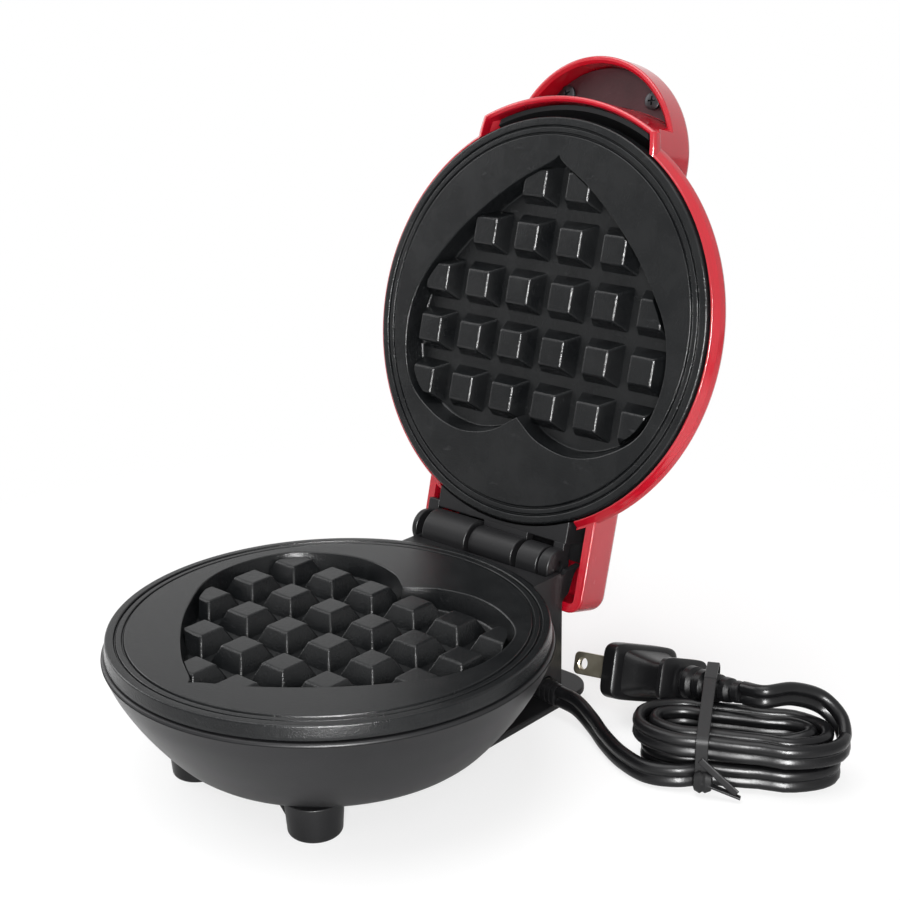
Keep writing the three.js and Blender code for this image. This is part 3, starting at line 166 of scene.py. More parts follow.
def make_finish_group():
    """Cloudy patches, fine grain and hairline handling marks that every finish here shares."""
    tree = bpy.data.node_groups.new("surface_finish", "ShaderNodeTree")
    sizes = {
        "Patch Scale": 40.0, "Grain Scale": 2500.0, "Scratch Scale": 60.0, "Scratch Amount": 0.3,
    }
    for socket, default in sizes.items():
        made = tree.interface.new_socket(socket, in_out="INPUT", socket_type="NodeSocketFloat")
        made.default_value = default
    for socket in ("Patches", "Grain", "Scratches"):
        tree.interface.new_socket(socket, in_out="OUTPUT", socket_type="NodeSocketFloat")
    start = add_node(tree, "NodeGroupInput")
    end = add_node(tree, "NodeGroupOutput")
    place = add_node(tree, "ShaderNodeTexCoord")
    patches = add_node(tree, "ShaderNodeTexNoise", {"Detail": 3.0, "Roughness": 0.6})
    grain = add_node(tree, "ShaderNodeTexNoise", {"Detail": 2.0, "Roughness": 0.5})
    stretch = add_node(
        tree, "ShaderNodeMapping", {"Scale": (1.0, 9.0, 2.5), "Rotation": (0.3, 0.5, 0.7)},
    )
    lines = add_node(tree, "ShaderNodeTexNoise", {"Detail": 6.0, "Roughness": 0.75})
    thin = add_node(tree, "ShaderNodeMapRange", {"From Min": 0.62, "From Max": 0.70})
    scaled = add_node(tree, "ShaderNodeMath", operation="MULTIPLY")
    wire(
        tree, (start, "Patch Scale", patches, "Scale"), (start, "Grain Scale", grain, "Scale"),
        (start, "Scratch Scale", lines, "Scale"), (place, "Object", patches, "Vector"),
        (place, "Object", grain, "Vector"), (place, "Object", stretch, "Vector"),
        (stretch, "Vector", lines, "Vector"), (lines, "Fac", thin, "Value"),
        (thin, "Result", scaled, 0), (start, "Scratch Amount", scaled, 1),
        (patches, "Fac", end, "Patches"), (grain, "Fac", end, "Grain"),
        (scaled, "Value", end, "Scratches"),
    )
    return tree


surface_finish = make_finish_group()


def make_material(
    name, dark, light, roughness, grain_depth, grain=2500, patches=40,
    scratches=0.25, marks=60, worn_colour=None, shader=None,
):
    """Colour moves between dark and light in patches, roughness with it, and grain is a bump.

    Larger numbers for grain, patches and marks make each of them finer.
    """
    material = bpy.data.materials.new(name)
    material.use_nodes = True
    tree = material.node_tree
    surface = tree.nodes["Principled BSDF"]
    for socket, value in (shader or {}).items():
        surface.inputs[socket].default_value = value
    finish = add_node(tree, "ShaderNodeGroup", node_tree=surface_finish)
    finish.inputs["Patch Scale"].default_value = patches
    finish.inputs["Grain Scale"].default_value = grain
    finish.inputs["Scratch Scale"].default_value = marks
    finish.inputs["Scratch Amount"].default_value = scratches
    spread = add_node(tree, "ShaderNodeMapRange", {"From Min": 0.3, "From Max": 0.7})
    tone = add_node(tree, "ShaderNodeMix", data_type="RGBA")
    tone.inputs["A"].default_value = (*dark, 1)
    tone.inputs["B"].default_value = (*light, 1)
    worn = add_node(tree, "ShaderNodeMix", data_type="RGBA")
    worn.inputs["B"].default_value = (*(worn_colour or light), 1)
    gloss = add_node(tree, "ShaderNodeMapRange", {
        "From Min": 0.3, "From Max": 0.7, "To Min": roughness[0], "To Max": roughness[1],
    })
    bump = add_node(tree, "ShaderNodeBump", {"Strength": 1.0, "Distance": grain_depth})
    wire(
        tree, (finish, "Patches", spread, "Value"), (spread, "Result", tone, "Factor"),
        (tone, "Result", worn, "A"), (finish, "Scratches", worn, "Factor"),
        (worn, "Result", surface, "Base Color"), (finish, "Patches", gloss, "Value"),
        (gloss, "Result", surface, "Roughness"), (finish, "Grain", bump, "Height"),
        (bump, "Normal", surface, "Normal"),
    )
    return material


def make_piece(name, bm, material, body, place, stands_for):
    """A bmesh in millimetres becomes a piece in metres that rides on a body for its CAD nodes."""
    bmesh.ops.transform(bm, matrix=place, verts=bm.verts)
    mesh = bpy.data.meshes.new(name)
    bm.to_mesh(mesh)
    bm.free()
    mesh.shade_smooth()
    mesh.set_sharp_from_angle(angle=math.radians(34))
    mesh.materials.append(material)
    piece = bpy.data.objects.new(name, mesh)
    bpy.context.scene.collection.objects.link(piece)
    even = piece.modifiers.new("even normals", "WEIGHTED_NORMAL")
    even.keep_sharp = True
    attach(piece, body)
    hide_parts(*stands_for)
    return piece


plate_low, plate_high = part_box("lower_plate")
plate_axis_y = (plate_low[1] + plate_high[1]) / 2
on_base = Matrix.Translation((0, plate_axis_y, 0)) @ Matrix.Scale(0.001, 4)
fit_gap = 0.3

cord_width = 6.4
cord_thickness = 3.4
lobe_radius = cord_thickness / 2
lobe_offset = cord_width / 2 - lobe_radius
lobe_open_angle = 52
relief_place = Vector((11, 59.5, 6.6))
relief_heading = Vector((1, -0.13, -0.035)).normalized()
relief_length = 20
lead_route = [(45, 53.1, 4.3), (53, 48.4, 3.5), (62, 44, 3.4), (71, 42.4, 3.4), (78.2, 45, 3.9)]
hank_centre = Vector((84, 63, 0))
hank_heading = math.radians(28)
hank_run = 27.3
hank_inner = 4
hank_pitch = 4.25
hank_loops = 2
hank_layer_gap = 0.6
hank_lift = 1
hank_waist = 1.9
hank_bow_share = 0.8
hank_climb_share = 0.25
hank_steps = 48
hank_tail = [(25.9, 4.6, 14.2), (21, 7.2, 18), (13.6, 4.6, 21)]
plug_relief_end = Vector((83, 67.4, 20))
plug_front = Vector((44, 73, 11.6))
hank_along = Vector((math.cos(hank_heading), math.sin(hank_heading), 0))
hank_aside = Vector((-math.sin(hank_heading), math.cos(hank_heading), 0))
plug_axis = (plug_front - plug_relief_end).normalized()


def hank_place(along, aside, height):
    return hank_centre + hank_along * along + hank_aside * aside + Vector((0, 0, height))


def hank_point(turn):
    """A turn starts at the waist on the near side, runs to the right and comes back behind."""
    reach = hank_inner + hank_pitch * abs(turn - hank_loops)
    angle = (turn % 1) * 2 * math.pi - math.pi / 2
    half = hank_run / 2
    along = math.cos(angle) * (half + reach)
    waist = 1 - smoothstep(abs(along) / half, 0.45, 1.1)
    bow = math.copysign(abs(math.sin(angle)) ** hank_bow_share, math.sin(angle))
    climb = smoothstep(turn, hank_loops - hank_climb_share, hank_loops + hank_climb_share)
    height = hank_lift + cord_width / 2 + climb * (cord_width + hank_layer_gap)
    return hank_place(along, bow * (reach - hank_waist * waist), height)


cord_exit = relief_place + relief_heading * (relief_length + fit_gap)
hank_turns = 2 * hank_loops + hank_climb_share
hank_route = [hank_point(i / hank_steps) for i in range(round(hank_turns * hank_steps) + 1)]
hank_start_heading = (hank_route[1] - hank_route[0]).normalized()
route_steps = 8
lead = smooth_route([
    cord_exit - relief_heading * cord_width, cord_exit, cord_exit + relief_heading * cord_width,
    *lead_route, hank_route[0] - hank_start_heading * cord_width, hank_route[0],
    hank_point(1 / 24),
], route_steps)[route_steps:-route_steps]
cord_end = plug_relief_end - plug_axis * fit_gap
tail = smooth_route([
    hank_point(hank_turns - 1 / 24), hank_route[-1], *[hank_place(*p) for p in hank_tail],
    cord_end - plug_axis * cord_width, cord_end, cord_end + plug_axis * cord_width,
], route_steps)[route_steps:-route_steps]
cord_route = [*lead[:-1], *hank_route[:-1], *tail]
upper_lobe = arc((0, lobe_offset), lobe_radius, -lobe_open_angle, 180 + lobe_open_angle, 9)
cord_section = [*upper_lobe, *[(-aside, -rise) for aside, rise in upper_lobe]]
cord_pvc = make_material(
    "cord_pvc", (0.003, 0.003, 0.0035), (0.006, 0.006, 0.0065), (0.26, 0.36), 0.00002, grain=1800,
    scratches=0.2, worn_colour=(0.03, 0.03, 0.03), shader={"Specular IOR Level": 0.2},
)
cord = make_piece(
    "power_cord", swept(cord_route, cord_section), cord_pvc, "base", on_base,
    ["cord_lead", "cord_hank"],
)


# Strain relief: a tapered PVC sleeve moulded round the cord, 20 mm long, held in the tower's wall.
# Its free end has short rings cut into it so that it bends.
def super_ellipse(width, height, power, sides):
    points = []
    for i in range(sides):
        angle = (i + 0.5) / sides * 2 * math.pi
        c, s = math.cos(angle), math.sin(angle)
        points.append((
            math.copysign(abs(c) ** (2 / power), c) * width / 2,
            math.copysign(abs(s) ** (2 / power), s) * height / 2,
        ))
    return points


def stacked(outlines):
    """A closed solid: the first outline of points is filled, and drawn through the others."""
    bm = bmesh.new()
    face = bm.faces.new([bm.verts.new(point) for point in outlines[0]])
    ring = face.verts[:]
    edges = face.edges[:]
    for outline in outlines[1:]:
        drawn = bmesh.ops.extrude_edge_only(bm, edges=edges)
        edges = [item for item in drawn["geom"] if isinstance(item, bmesh.types.BMEdge)]
        joined = {}
        for edge in bm.edges:
            joined.setdefault(edge.verts[0], []).append(edge.verts[1])
            joined.setdefault(edge.verts[1], []).append(edge.verts[0])
        fresh = {v for edge in edges for v in edge.verts}
        ring = [next(v for v in joined[old] if v in fresh) for old in ring]
        for vert, place in zip(ring, outline):
            vert.co = place
    bm.faces.new(ring)
    bmesh.ops.recalc_face_normals(bm, faces=bm.faces)
    return bm


def drawn_along(origin, axis, side, sections, sides=40):
    """Rings (along, width, height, power) across an axis, as on a moulded grip or sleeve."""
    rise = axis.cross(side)
    return stacked([
        [origin + axis * along + side * a + rise * b for a, b in super_ellipse(w, h, power, sides)]
        for along, w, h, power in sections
    ])


relief_side = relief_heading.cross(Vector((0, 0, 1))).normalized()
relief_width = 8.6
relief_height = 7.05


def relief_rings(clearance):
    more = 2 * clearance
    rings = [(-clearance, relief_width + more, relief_height + more, 2.5)]
    if clearance:
        return [*rings, (relief_length, 4.7 + more, 6.4 + more, 2.5)]
    for start in (15.2, 17.0, 18.6):
        width = relief_width - 3.9 * start / relief_length
        height = relief_height - 0.0325 * start
        rings += [
            (start - 0.45, width, height, 2.5), (start - 0.35, width - 0.5, height - 0.45, 2.5),
            (start + 0.05, width - 0.5, height - 0.45, 2.5),
            (start + 0.15, width - 0.1, height, 2.5),
        ]
    return [*rings, (relief_length - 0.5, 4.8, 6.42, 2.5), (relief_length, 4.3, 6.3, 2.5)]


relief = make_piece(
    "strain_relief", drawn_along(relief_place, relief_heading, relief_side, relief_rings(0)),
    cord_pvc, "base", on_base, ["cord_strain_relief"],
)

# Tie: a flat black plastic band round the hank and the plug's sleeve, closed by a knot at the near
# side. A flat end and a short strand run from it to the worktop.
tie_along = -7.5
tie_width = 3.2
tie_thickness = 0.6
tie_edge = 0.14
tie_corners = [
    (-14.8, 0.1), (-14.8, 15.4), (5, 23.2), (14.5, 23.2), (18, 20.6), (18, 13.5), (13.4, 0.1),
]


def round_corners(points, steps=4):
    """An outline whose corners (x, y, radius) are turned into arcs."""
    result = []
    for i, (x, y, radius) in enumerate(points):
        here = Vector((x, y))
        if radius == 0:
            result.append((x, y))
            continue
        back = (Vector(points[i - 1][:2]) - here).normalized()
        on = (Vector(points[(i + 1) % len(points)][:2]) - here).normalized()
        half = back.angle(on) / 2
        centre = here + (back + on).normalized() * (radius / math.sin(half))
        start = here + back * (radius / math.tan(half)) - centre
        end = here + on * (radius / math.tan(half)) - centre
        for k in range(steps + 1):
            result.append(tuple(centre + start.slerp(end, k / steps).normalized() * radius))
    return result


def inset(outline, distance):
    """The same closed outline drawn further in, for one that runs clockwise."""
    result = []
    for i, point in enumerate(outline):
        here = Vector(point)
        back = (here - Vector(outline[i - 1])).normalized()
        on = (Vector(outline[(i + 1) % len(outline)]) - here).normalized()
        normal = Vector((on.y, -on.x))
        inward = (Vector((back.y, -back.x)) + normal).normalized()
        result.append(tuple(here + inward * (distance / max(inward.dot(normal), 0.3))))
    return result


tie_outline = round_corners([(a, h, 2.2) for a, h in tie_corners], 5)
tie_layers = [
    [hank_place(tie_along - tie_width / 2 + along, a, h) for a, h in inset(tie_outline, depth)]
    for depth, along in (
        (tie_edge, 0), (0, tie_edge), (0, tie_width - tie_edge), (tie_edge, tie_width),
        (tie_thickness - tie_edge, tie_width), (tie_thickness, tie_width - tie_edge),
        (tie_thickness, tie_edge), (tie_thickness - tie_edge, 0),
    )
]


def ring_band(layers):
    """A band closed on itself, drawn through rings of points that come back to the first."""
    bm = bmesh.new()
    rings = []
    for layer in layers:
        verts = [bm.verts.new(point) for point in layer]
        rings.append([bm.edges.new((a, b)) for a, b in zip(verts, verts[1:] + verts[:1])])
    for first, second in zip(rings, rings[1:] + rings[:1]):
        bmesh.ops.bridge_loops(bm, edges=first + second)
    bmesh.ops.recalc_face_normals(bm, faces=bm.faces)
    return bm


def combine(bm, *steps):
    """Joins or cuts closed solids in turn; each step is an operation and a solid."""
    def as_object(solid):
        mesh = bpy.data.meshes.new("solid")
        solid.to_mesh(mesh)
        solid.free()
        made = bpy.data.objects.new("solid", mesh)
        bpy.context.scene.collection.objects.link(made)
        return made

    for operation, solid in steps:
        whole, tool = as_object(bm), as_object(solid)
        modifier = whole.modifiers.new(operation, "BOOLEAN")
        modifier.operation = operation
        modifier.solver = "EXACT"
        modifier.object = tool
        graph = bpy.context.evaluated_depsgraph_get()
        mesh = bpy.data.meshes.new_from_object(whole.evaluated_get(graph))
        bm = bmesh.new()
        bm.from_mesh(mesh)
        bpy.data.meshes.remove(mesh)
        for made in (whole, tool):
            data = made.data
            bpy.data.objects.remove(made)
            bpy.data.meshes.remove(data)
        bmesh.ops.remove_doubles(bm, verts=bm.verts, dist=0.0002)
    return bm


def add(solid):
    return "UNION", solid


def cut(solid):
    return "DIFFERENCE", solid


def meet(solid):
    return "INTERSECT", solid


tie_plastic = make_material(
    "tie_plastic", (0.004, 0.004, 0.0045), (0.008, 0.008, 0.0085), (0.35, 0.5), 0.00003,
    grain=1500, scratches=0.3, worn_colour=(0.04, 0.04, 0.04), shader={"Specular IOR Level": 0.2},
)
knot_place = hank_place(tie_along + 0.5, -15.3, 4.0)
knot = drawn_along(knot_place, hank_along, hank_aside, [
    (-2.4, 1.0, 2.4, 2), (-2.0, 2.2, 4.6, 2.4), (-0.6, 2.9, 6.2, 2.4), (0.1, 2.2, 5.2, 2.4),
    (0.8, 2.8, 5.8, 2.4), (2.2, 2.0, 4.4, 2.4), (2.6, 1.0, 2.2, 2),
], 24)
end_on_floor = hank_place(tie_along + 10.4, -16.4, 1.2)
tie_end = drawn_along(knot_place, (end_on_floor - knot_place).normalized(), Vector((0, 0, 1)), [
    (along, 0.7, 2.4 - 0.09 * along, 5) for along in (-1.2, 0.5, 2.5, 4.5, 6.5, 8.4, 10.1)
], 24)
upper_strand_start = hank_place(tie_along + 0.4, -15.0, 9.4)
upper_strand = drawn_along(
    upper_strand_start, (end_on_floor - upper_strand_start).normalized(), hank_aside,
    [(along, 0.6, 1.9, 5) for along in (-0.8, 2.5, 6, 9.5, 11.4)], 24,
)
tie = make_piece(
    "hank_tie",
    combine(ring_band(tie_layers), add(knot), add(tie_end), add(upper_strand)),
    tie_plastic, "base", on_base, ["cord_tie"],
)

# Plug: a moulded two-blade plug, drawn along its own axis. A ribbed sleeve takes the cord, then a
# shoulder plate, a concave grip and a thick flange with a raised border round the blades.
plug_length = (plug_front - plug_relief_end).length
plug_side = Vector((0.374, 0.876, -0.306))
plug_side = (plug_side - plug_axis * plug_side.dot(plug_axis)).normalized()
grip_start = plug_length - 20
flange_back = plug_length - 4.5
rib_step = grip_start / 5
plug_rings = [(0, 4.6, 5.0, 2)]
for rib in range(5):
    size = 5.6 + 3.4 * rib / 4
    start = rib * rib_step
    plug_rings += [
        (start + 0.25, size, size, 2.2), (start + 2.0, size + 0.3, size + 0.3, 2.2),
        (start + 2.25, size, size, 2.2), (start + 2.45, size - 1.4, size - 1.4, 2.2),
        (start + 3.5, size - 1.2, size - 1.2, 2.2),
    ]
for origin, rings in (
    (grip_start, [
        (-0.3, 9.4, 9.0, 2.6), (0, 10.4, 9.6, 3), (0.3, 16.6, 11.2, 5), (0.8, 17.8, 12, 5.5),
        (2.0, 18, 12, 5.5), (2.4, 17.2, 11.4, 5), (2.7, 14.6, 10.6, 4.5), (3.4, 13.6, 10.2, 4.2),
        (6.2, 13.6, 9.8, 4), (9.0, 14.4, 10.2, 4), (11.4, 16.4, 11.2, 4.4),
    ]),
    (flange_back, [
        (-1.6, 18.4, 12.6, 5), (-0.9, 18.9, 12.9, 5.5), (-0.7, 22.6, 14.0, 6),
        (-0.2, 24.4, 15.1, 6.5), (0.3, 25, 15.5, 6.5),
    ]),
    (plug_length, [
        (-0.9, 25, 15.5, 6.5), (-0.3, 24.5, 15.0, 6.5), (-0.1, 23.6, 14.2, 6.5),
        (-0.1, 22.8, 13.4, 6), (-0.6, 22.0, 12.6, 6), (-0.6, 20.0, 10.6, 6), (0, 19.2, 9.8, 6),
    ]),
):
    plug_rings += [(origin + along, w, h, power) for along, w, h, power in rings]
plug_pvc = make_material(
    "plug_pvc", (0.003, 0.003, 0.0035), (0.006, 0.006, 0.0065), (0.3, 0.42), 0.00003, grain=1600,
    scratches=0.3, worn_colour=(0.04, 0.04, 0.04), shader={"Specular IOR Level": 0.18},
)
plug = make_piece(
    "plug", drawn_along(plug_relief_end, plug_axis, plug_side, plug_rings, 64),
    plug_pvc, "base", on_base, ["plug_body"],
)


# Plug blades: two flat stamped blades with rounded noses and a round hole each, nickel on brass,
# moulded into the plug 12.7 mm apart. One is wider than the other.
def prism(outline, low, high):
    """A closed outline drawn up from one height to another."""
    return stacked([[(x, y, low) for x, y in outline], [(x, y, high) for x, y in outline]])


def soften(bm, radius, segments=3, keep=lambda edge: True, least=30):
    """Rounds the edges that turn by more than least degrees and that keep accepts."""
    edges = [
        edge for edge in bm.edges
        if len(edge.link_faces) == 2 and keep(edge)
        and edge.calc_face_angle(0) > math.radians(least)
    ]
    bmesh.ops.bevel(
        bm, geom=edges, offset=radius, offset_type="OFFSET", segments=segments, profile=0.5,
        affect="EDGES", material=-1, clamp_overlap=True,
    )
    return bm


def turned(profile, sides, closed=False):
    """A solid spun round Z from an outline of (radius, height); a closed one makes a ring."""
    bm = bmesh.new()
    verts = [bm.verts.new((radius, 0, height)) for radius, height in profile]
    for first, second in zip(verts, verts[1:] + verts[:1] if closed else verts[1:]):
        bm.edges.new((first, second))
    bmesh.ops.spin(
        bm, geom=bm.verts[:] + bm.edges[:], cent=(0, 0, 0), axis=(0, 0, 1),
        angle=2 * math.pi, steps=sides, use_merge=True, use_duplicate=False,
    )
    bmesh.ops.remove_doubles(bm, verts=bm.verts, dist=1e-4)
    bmesh.ops.recalc_face_normals(bm, faces=bm.faces)
    return bm


def shifted(bm, x, y, z=0):
    bmesh.ops.translate(bm, vec=(x, y, z), verts=bm.verts)
    return bm


def moved(bm, matrix):
    bmesh.ops.transform(bm, matrix=matrix, verts=bm.verts)
    return bm


def lathe(corners, sides, steps=4, y=0):
    """A solid spun round an upright axis, from corners of (radius, height, rounding)."""
    return shifted(turned(round_corners(corners, steps), sides), 0, y)


def post(x, y, low, high, diameter, edge=0.0, sides=48):
    """An upright cylinder with rounded end edges."""
    radius = diameter / 2
    outline = [(0, low, 0), (radius, low, edge), (radius, high, edge), (0, high, 0)]
    return shifted(lathe(outline, sides, 3), x, y)


blade_metal = make_material(
    "blade_metal", (0.30, 0.27, 0.20), (0.42, 0.39, 0.31), (0.28, 0.42), 0.00001, grain=900,
    patches=120, scratches=0.5, marks=140, worn_colour=(0.18, 0.15, 0.10),
    shader={"Metallic": 1.0},
)
plug_frame = Matrix.Translation(plug_relief_end) @ Matrix(
    (plug_axis, plug_side, plug_axis.cross(plug_side))
).transposed().to_4x4()
blade_reach = 16
blade_root = 0.6
blade_nose = 1.6
blade_hole_setback = 3.6
for name, width, aside in (("narrow", 6.35, -6.35), ("wide", 7.9, 6.35)):
    start = plug_length + fit_gap - blade_root
    end = plug_length + fit_gap + blade_reach
    outline = round_corners([
        (start, -width / 2, 0), (end, -width / 2, blade_nose), (end, width / 2, blade_nose),
        (start, width / 2, 0),
    ], 5)
    blade = soften(prism(outline, -0.75, 0.75), 0.25, 2, least=60)
    hole = turned([
        (0, -2), (1.9, -2), (1.9, -0.75), (1.6, -0.45), (1.6, 0.45), (1.9, 0.75), (1.9, 2), (0, 2),
    ], 40)
    blade = combine(blade, cut(shifted(hole, end - blade_hole_setback, 0)))
    upright = Matrix(((1, 0, 0, 0), (0, 0, -1, aside), (0, 1, 0, 0), (0, 0, 0, 1)))
    make_piece(
        f"blade_{name}", blade, blade_metal, "base", on_base @ plug_frame @ upright,
        [f"plug_blade_{name}"],
    )

# Cooking plates: cast aluminium with a dark non-stick coat, one casting used twice. A heart-shaped
# pocket holds 24 four-sided teeth that its outline cuts, and two fine grooves run inside the rim.
face_height = 1000 * plate_high[2]
closed_gap = 0.3
plate_thickness = 8
screw_bore = 3.6
fine_sides = 176
screw_circle = 27
screw_places = [
    (screw_circle * math.cos(math.radians(a)), screw_circle * math.sin(math.radians(a)))
    for a in (90, 210, 330)
]
element_bottom = 14.3
heart_half_width = 46.3
heart_tip_y = -46.5
heart_length = 81.3
heart_centre_y = heart_tip_y + heart_length / 2
heart_shares = [
    (0, 0), (0.05, 0.026), (0.272, 0.1), (0.546, 0.225), (0.758, 0.353), (0.95, 0.517),
    (1, 0.689), (0.907, 0.867), (0.68, 0.964), (0.432, 1), (0.184, 0.975), (0, 0.91),
]
pocket_depth = 5.83
pocket_draft = 1.6
pocket_lip = 0.55
pocket_fillet = 0.9
right_half = smooth_route(
    [(x * heart_half_width, heart_tip_y + y * heart_length) for x, y in heart_shares], 9, 0,
)
heart_outline = [*right_half, *[(-x, y) for x, y in right_half[-2:0:-1]]]
pocket_levels = [(2.2, pocket_lip), (0.02, pocket_lip)]
for turn in range(15, 91, 15):
    c, s = math.cos(math.radians(turn)), math.sin(math.radians(turn))
    pocket_levels.append((-pocket_lip * (1 - c), pocket_lip * (1 - s)))
wall_end = pocket_depth - pocket_fillet
wall_shift = -pocket_draft * wall_end / pocket_depth
pocket_levels.append((-wall_end, wall_shift))
for turn in range(15, 91, 15):
    c, s = math.cos(math.radians(turn)), math.sin(math.radians(turn))
    pocket_levels.append((-wall_end - pocket_fillet * s, wall_shift - pocket_fillet * (1 - c)))


def heart_at(wider, height):
    """The heart's outline at a height, a little wider or narrower."""
    scale = 1 + wider / heart_half_width
    return [
        (x * scale, heart_centre_y + (y - heart_centre_y) * scale, height) for x, y in heart_outline
    ]


pocket = stacked([heart_at(wider, height) for height, wider in pocket_levels])

tooth_rows = [2, 4, 6, 6, 6]
wall_gaps = [0.4, 0.8, 1.5, 1.5, 1.5]
foot_gap = 0.7
tooth_pitch = (15.28, 15.4)
first_row_y = heart_tip_y + 7.98
tooth_top_drop = 0.84
tooth_top_half = 3.79
tooth_pocket_half = 6.15
tooth_slope = (tooth_pocket_half - tooth_top_half) / (pocket_depth - tooth_top_drop)
tooth_foot = -pocket_depth - 0.8
tooth_foot_half = tooth_top_half + tooth_slope * (-tooth_top_drop - tooth_foot)


def tooth(x, y):
    def square(half, height):
        corners = ((-1, -1), (1, -1), (1, 1), (-1, 1))
        return [(x + a * half, y + b * half, height) for a, b in corners]
    bm = stacked([square(tooth_foot_half, tooth_foot), square(tooth_top_half, -tooth_top_drop)])
    return soften(bm, 0.7, 4, lambda edge: max(v.co.z for v in edge.verts) > tooth_foot + 1)


def tooth_row(row, count):
    bm = bmesh.new()
    for column in range(count):
        x = (column - (count - 1) / 2) * tooth_pitch[0]
        one = tooth(x, first_row_y + row * tooth_pitch[1])
        mesh = bpy.data.meshes.new("tooth")
        one.to_mesh(mesh)
        one.free()
        bm.from_mesh(mesh)
        bpy.data.meshes.remove(mesh)
    return combine(bm, meet(stacked([
        heart_at(-wall_gaps[row] - foot_gap, tooth_foot - 1), heart_at(-wall_gaps[row], 1),
    ])))


plate_outline = round_corners([
    (0, -8, 0), (51.5, -8, 0.6), (53.5, -6.5, 0.6), (53.5, -3.9, 0), (57.45, -3.9, 0.3),
    (57.45, -2.9, 0.8), (57.1, 0, 0.6), (55, 0, 0.35), (54.72, -0.75, 0.12), (54.45, -0.75, 0.12),
    (54.3, -0.12, 0.3), (52.95, -0.12, 0.3), (52.8, -0.75, 0.12), (52.5, -0.75, 0.12),
    (52.2, 0, 0.35), (0, 0, 0),
], 3)
plate_steps = [cut(pocket)]
plate_steps += [add(tooth_row(row, count)) for row, count in enumerate(tooth_rows)]


def bore(x, y, low, high):
    """A screw's clearance hole as a cutting step."""
    return cut(post(x, y, low, high, screw_bore, 0, 24))


for x, y in screw_places:
    plate_steps += [
        add(post(x, y, -element_bottom, -plate_thickness + 0.3, 8, 0.3, 24)),
        bore(x, y, -element_bottom - 3, -element_bottom + 4.8),
    ]
cooking_plate = combine(turned(plate_outline, fine_sides), *plate_steps)
upper_cooking_plate = cooking_plate.copy()
nonstick = make_material(
    "nonstick_plate", (0.004, 0.0045, 0.005), (0.008, 0.0085, 0.009), (0.18, 0.27), 0.00009,
    grain=2600, patches=90, scratches=0.3, marks=120, worn_colour=(0.05, 0.05, 0.052),
    shader={"Specular IOR Level": 0.20},
)
on_face = Matrix.Translation((0, 0, face_height))
make_piece(
    "cooking_plate_lower", cooking_plate, nonstick, "base", on_base @ on_face,
    ["lower_plate"],
)
# The upper one is the same casting turned over under the lid. Lid pieces are drawn as if the lid
# were shut, with heights counted from the upper face, and turned open about the hinge pin.
hinge = Vector(frame["joints"][0]["pos_m"])
open_angle = math.radians(frame["joints"][0]["range_deg"][1])
hinge_y = 1000 * (hinge.y - plate_axis_y)
hinge_height = 1000 * hinge.z
on_lid = (
    Matrix.Translation(hinge) @ Matrix.Rotation(-open_angle, 4, "X") @ Matrix.Translation(-hinge)
    @ on_base @ Matrix.Translation((0, 0, face_height + closed_gap))
)
lid_hinge_height = hinge_height - face_height - closed_gap
make_piece(
    "cooking_plate_upper", upper_cooking_plate, nonstick, "lid",
    on_lid @ Matrix.Rotation(math.pi, 4, "Y"), ["upper_plate"],
)

# Base: one moulding of satin black phenolic, a round bowl with a hinge tower at the rear. Three
# hollow pillars inside carry the lower plate, and a short pedestal under it carries the stand.
black_plastic = make_material(
    "black_plastic", (0.008, 0.008, 0.0085), (0.012, 0.012, 0.013), (0.32, 0.42), 0.00002,
    grain=2200, patches=26, scratches=0.2, marks=70, worn_colour=(0.04, 0.04, 0.042),
    shader={"Specular IOR Level": 0.18},
)
bowl_bottom = 10
bowl_floor = 12
bowl_lip_radius = 58.9
bowl_lip_inner = 55.8
bowl_lip_height = 35.8
bowl_flat_radius = 42
bowl_shares = [
    (0, 0), (0.12, 0.07), (0.347, 0.248), (0.611, 0.492), (0.832, 0.748), (0.97, 0.969), (1, 1),
]
bowl_side = smooth_route([
    (
        bowl_flat_radius + r * (bowl_lip_radius - bowl_flat_radius),
        bowl_bottom + h * (bowl_lip_height - bowl_bottom),
    )
    for r, h in bowl_shares
], 5, 0)


def behind(side, wall):
    """The same outline of (radius, height) moved toward the hollow by a wall."""
    moved = []
    for (r0, h0), (r, h), (r2, h2) in zip(side, side[1:], side[2:]):
        length = math.hypot(r2 - r0, h2 - h0)
        moved.append((r - wall * (h2 - h0) / length, h + wall * (r2 - r0) / length))
    return moved


bowl_inside = [(r, h) for r, h in behind(bowl_side, 2) if r < bowl_lip_inner and h > bowl_floor]
in_bowl_wall = [(r, h) for r, h in behind(bowl_side, 1) if h > bowl_bottom + 1]
bowl_outline = round_corners([
    (0, bowl_bottom, 0), *[(r, h, 0) for r, h in bowl_side[:-5]],
    (bowl_lip_radius, bowl_lip_height, 0.8), (bowl_lip_inner, bowl_lip_height, 0.6),
    *[(r, h, 0) for r, h in bowl_inside[::-1]],
    (bowl_flat_radius, bowl_floor, 0), (0, bowl_floor, 0),
])
tower_half_width = 25.4
tower_front_y = 46
tower_rear_y = 65
tower_bottom = 2.3
tower_flare = 9.2
trough_floor = 31.8
cheek_top = 38.9
hinge_leaf_half = 23.9
slant_front_y = tower_rear_y - 10.4
slant_rear_y = tower_rear_y - 3.4
across = Matrix(((0, 0, 1, 0), (1, 0, 0, 0), (0, 1, 0, 0), (0, 0, 0, 1)))


def prism_across(outline, left, right):
    """A closed outline of (y, z) drawn along X."""
    return moved(prism(outline, left, right), across)


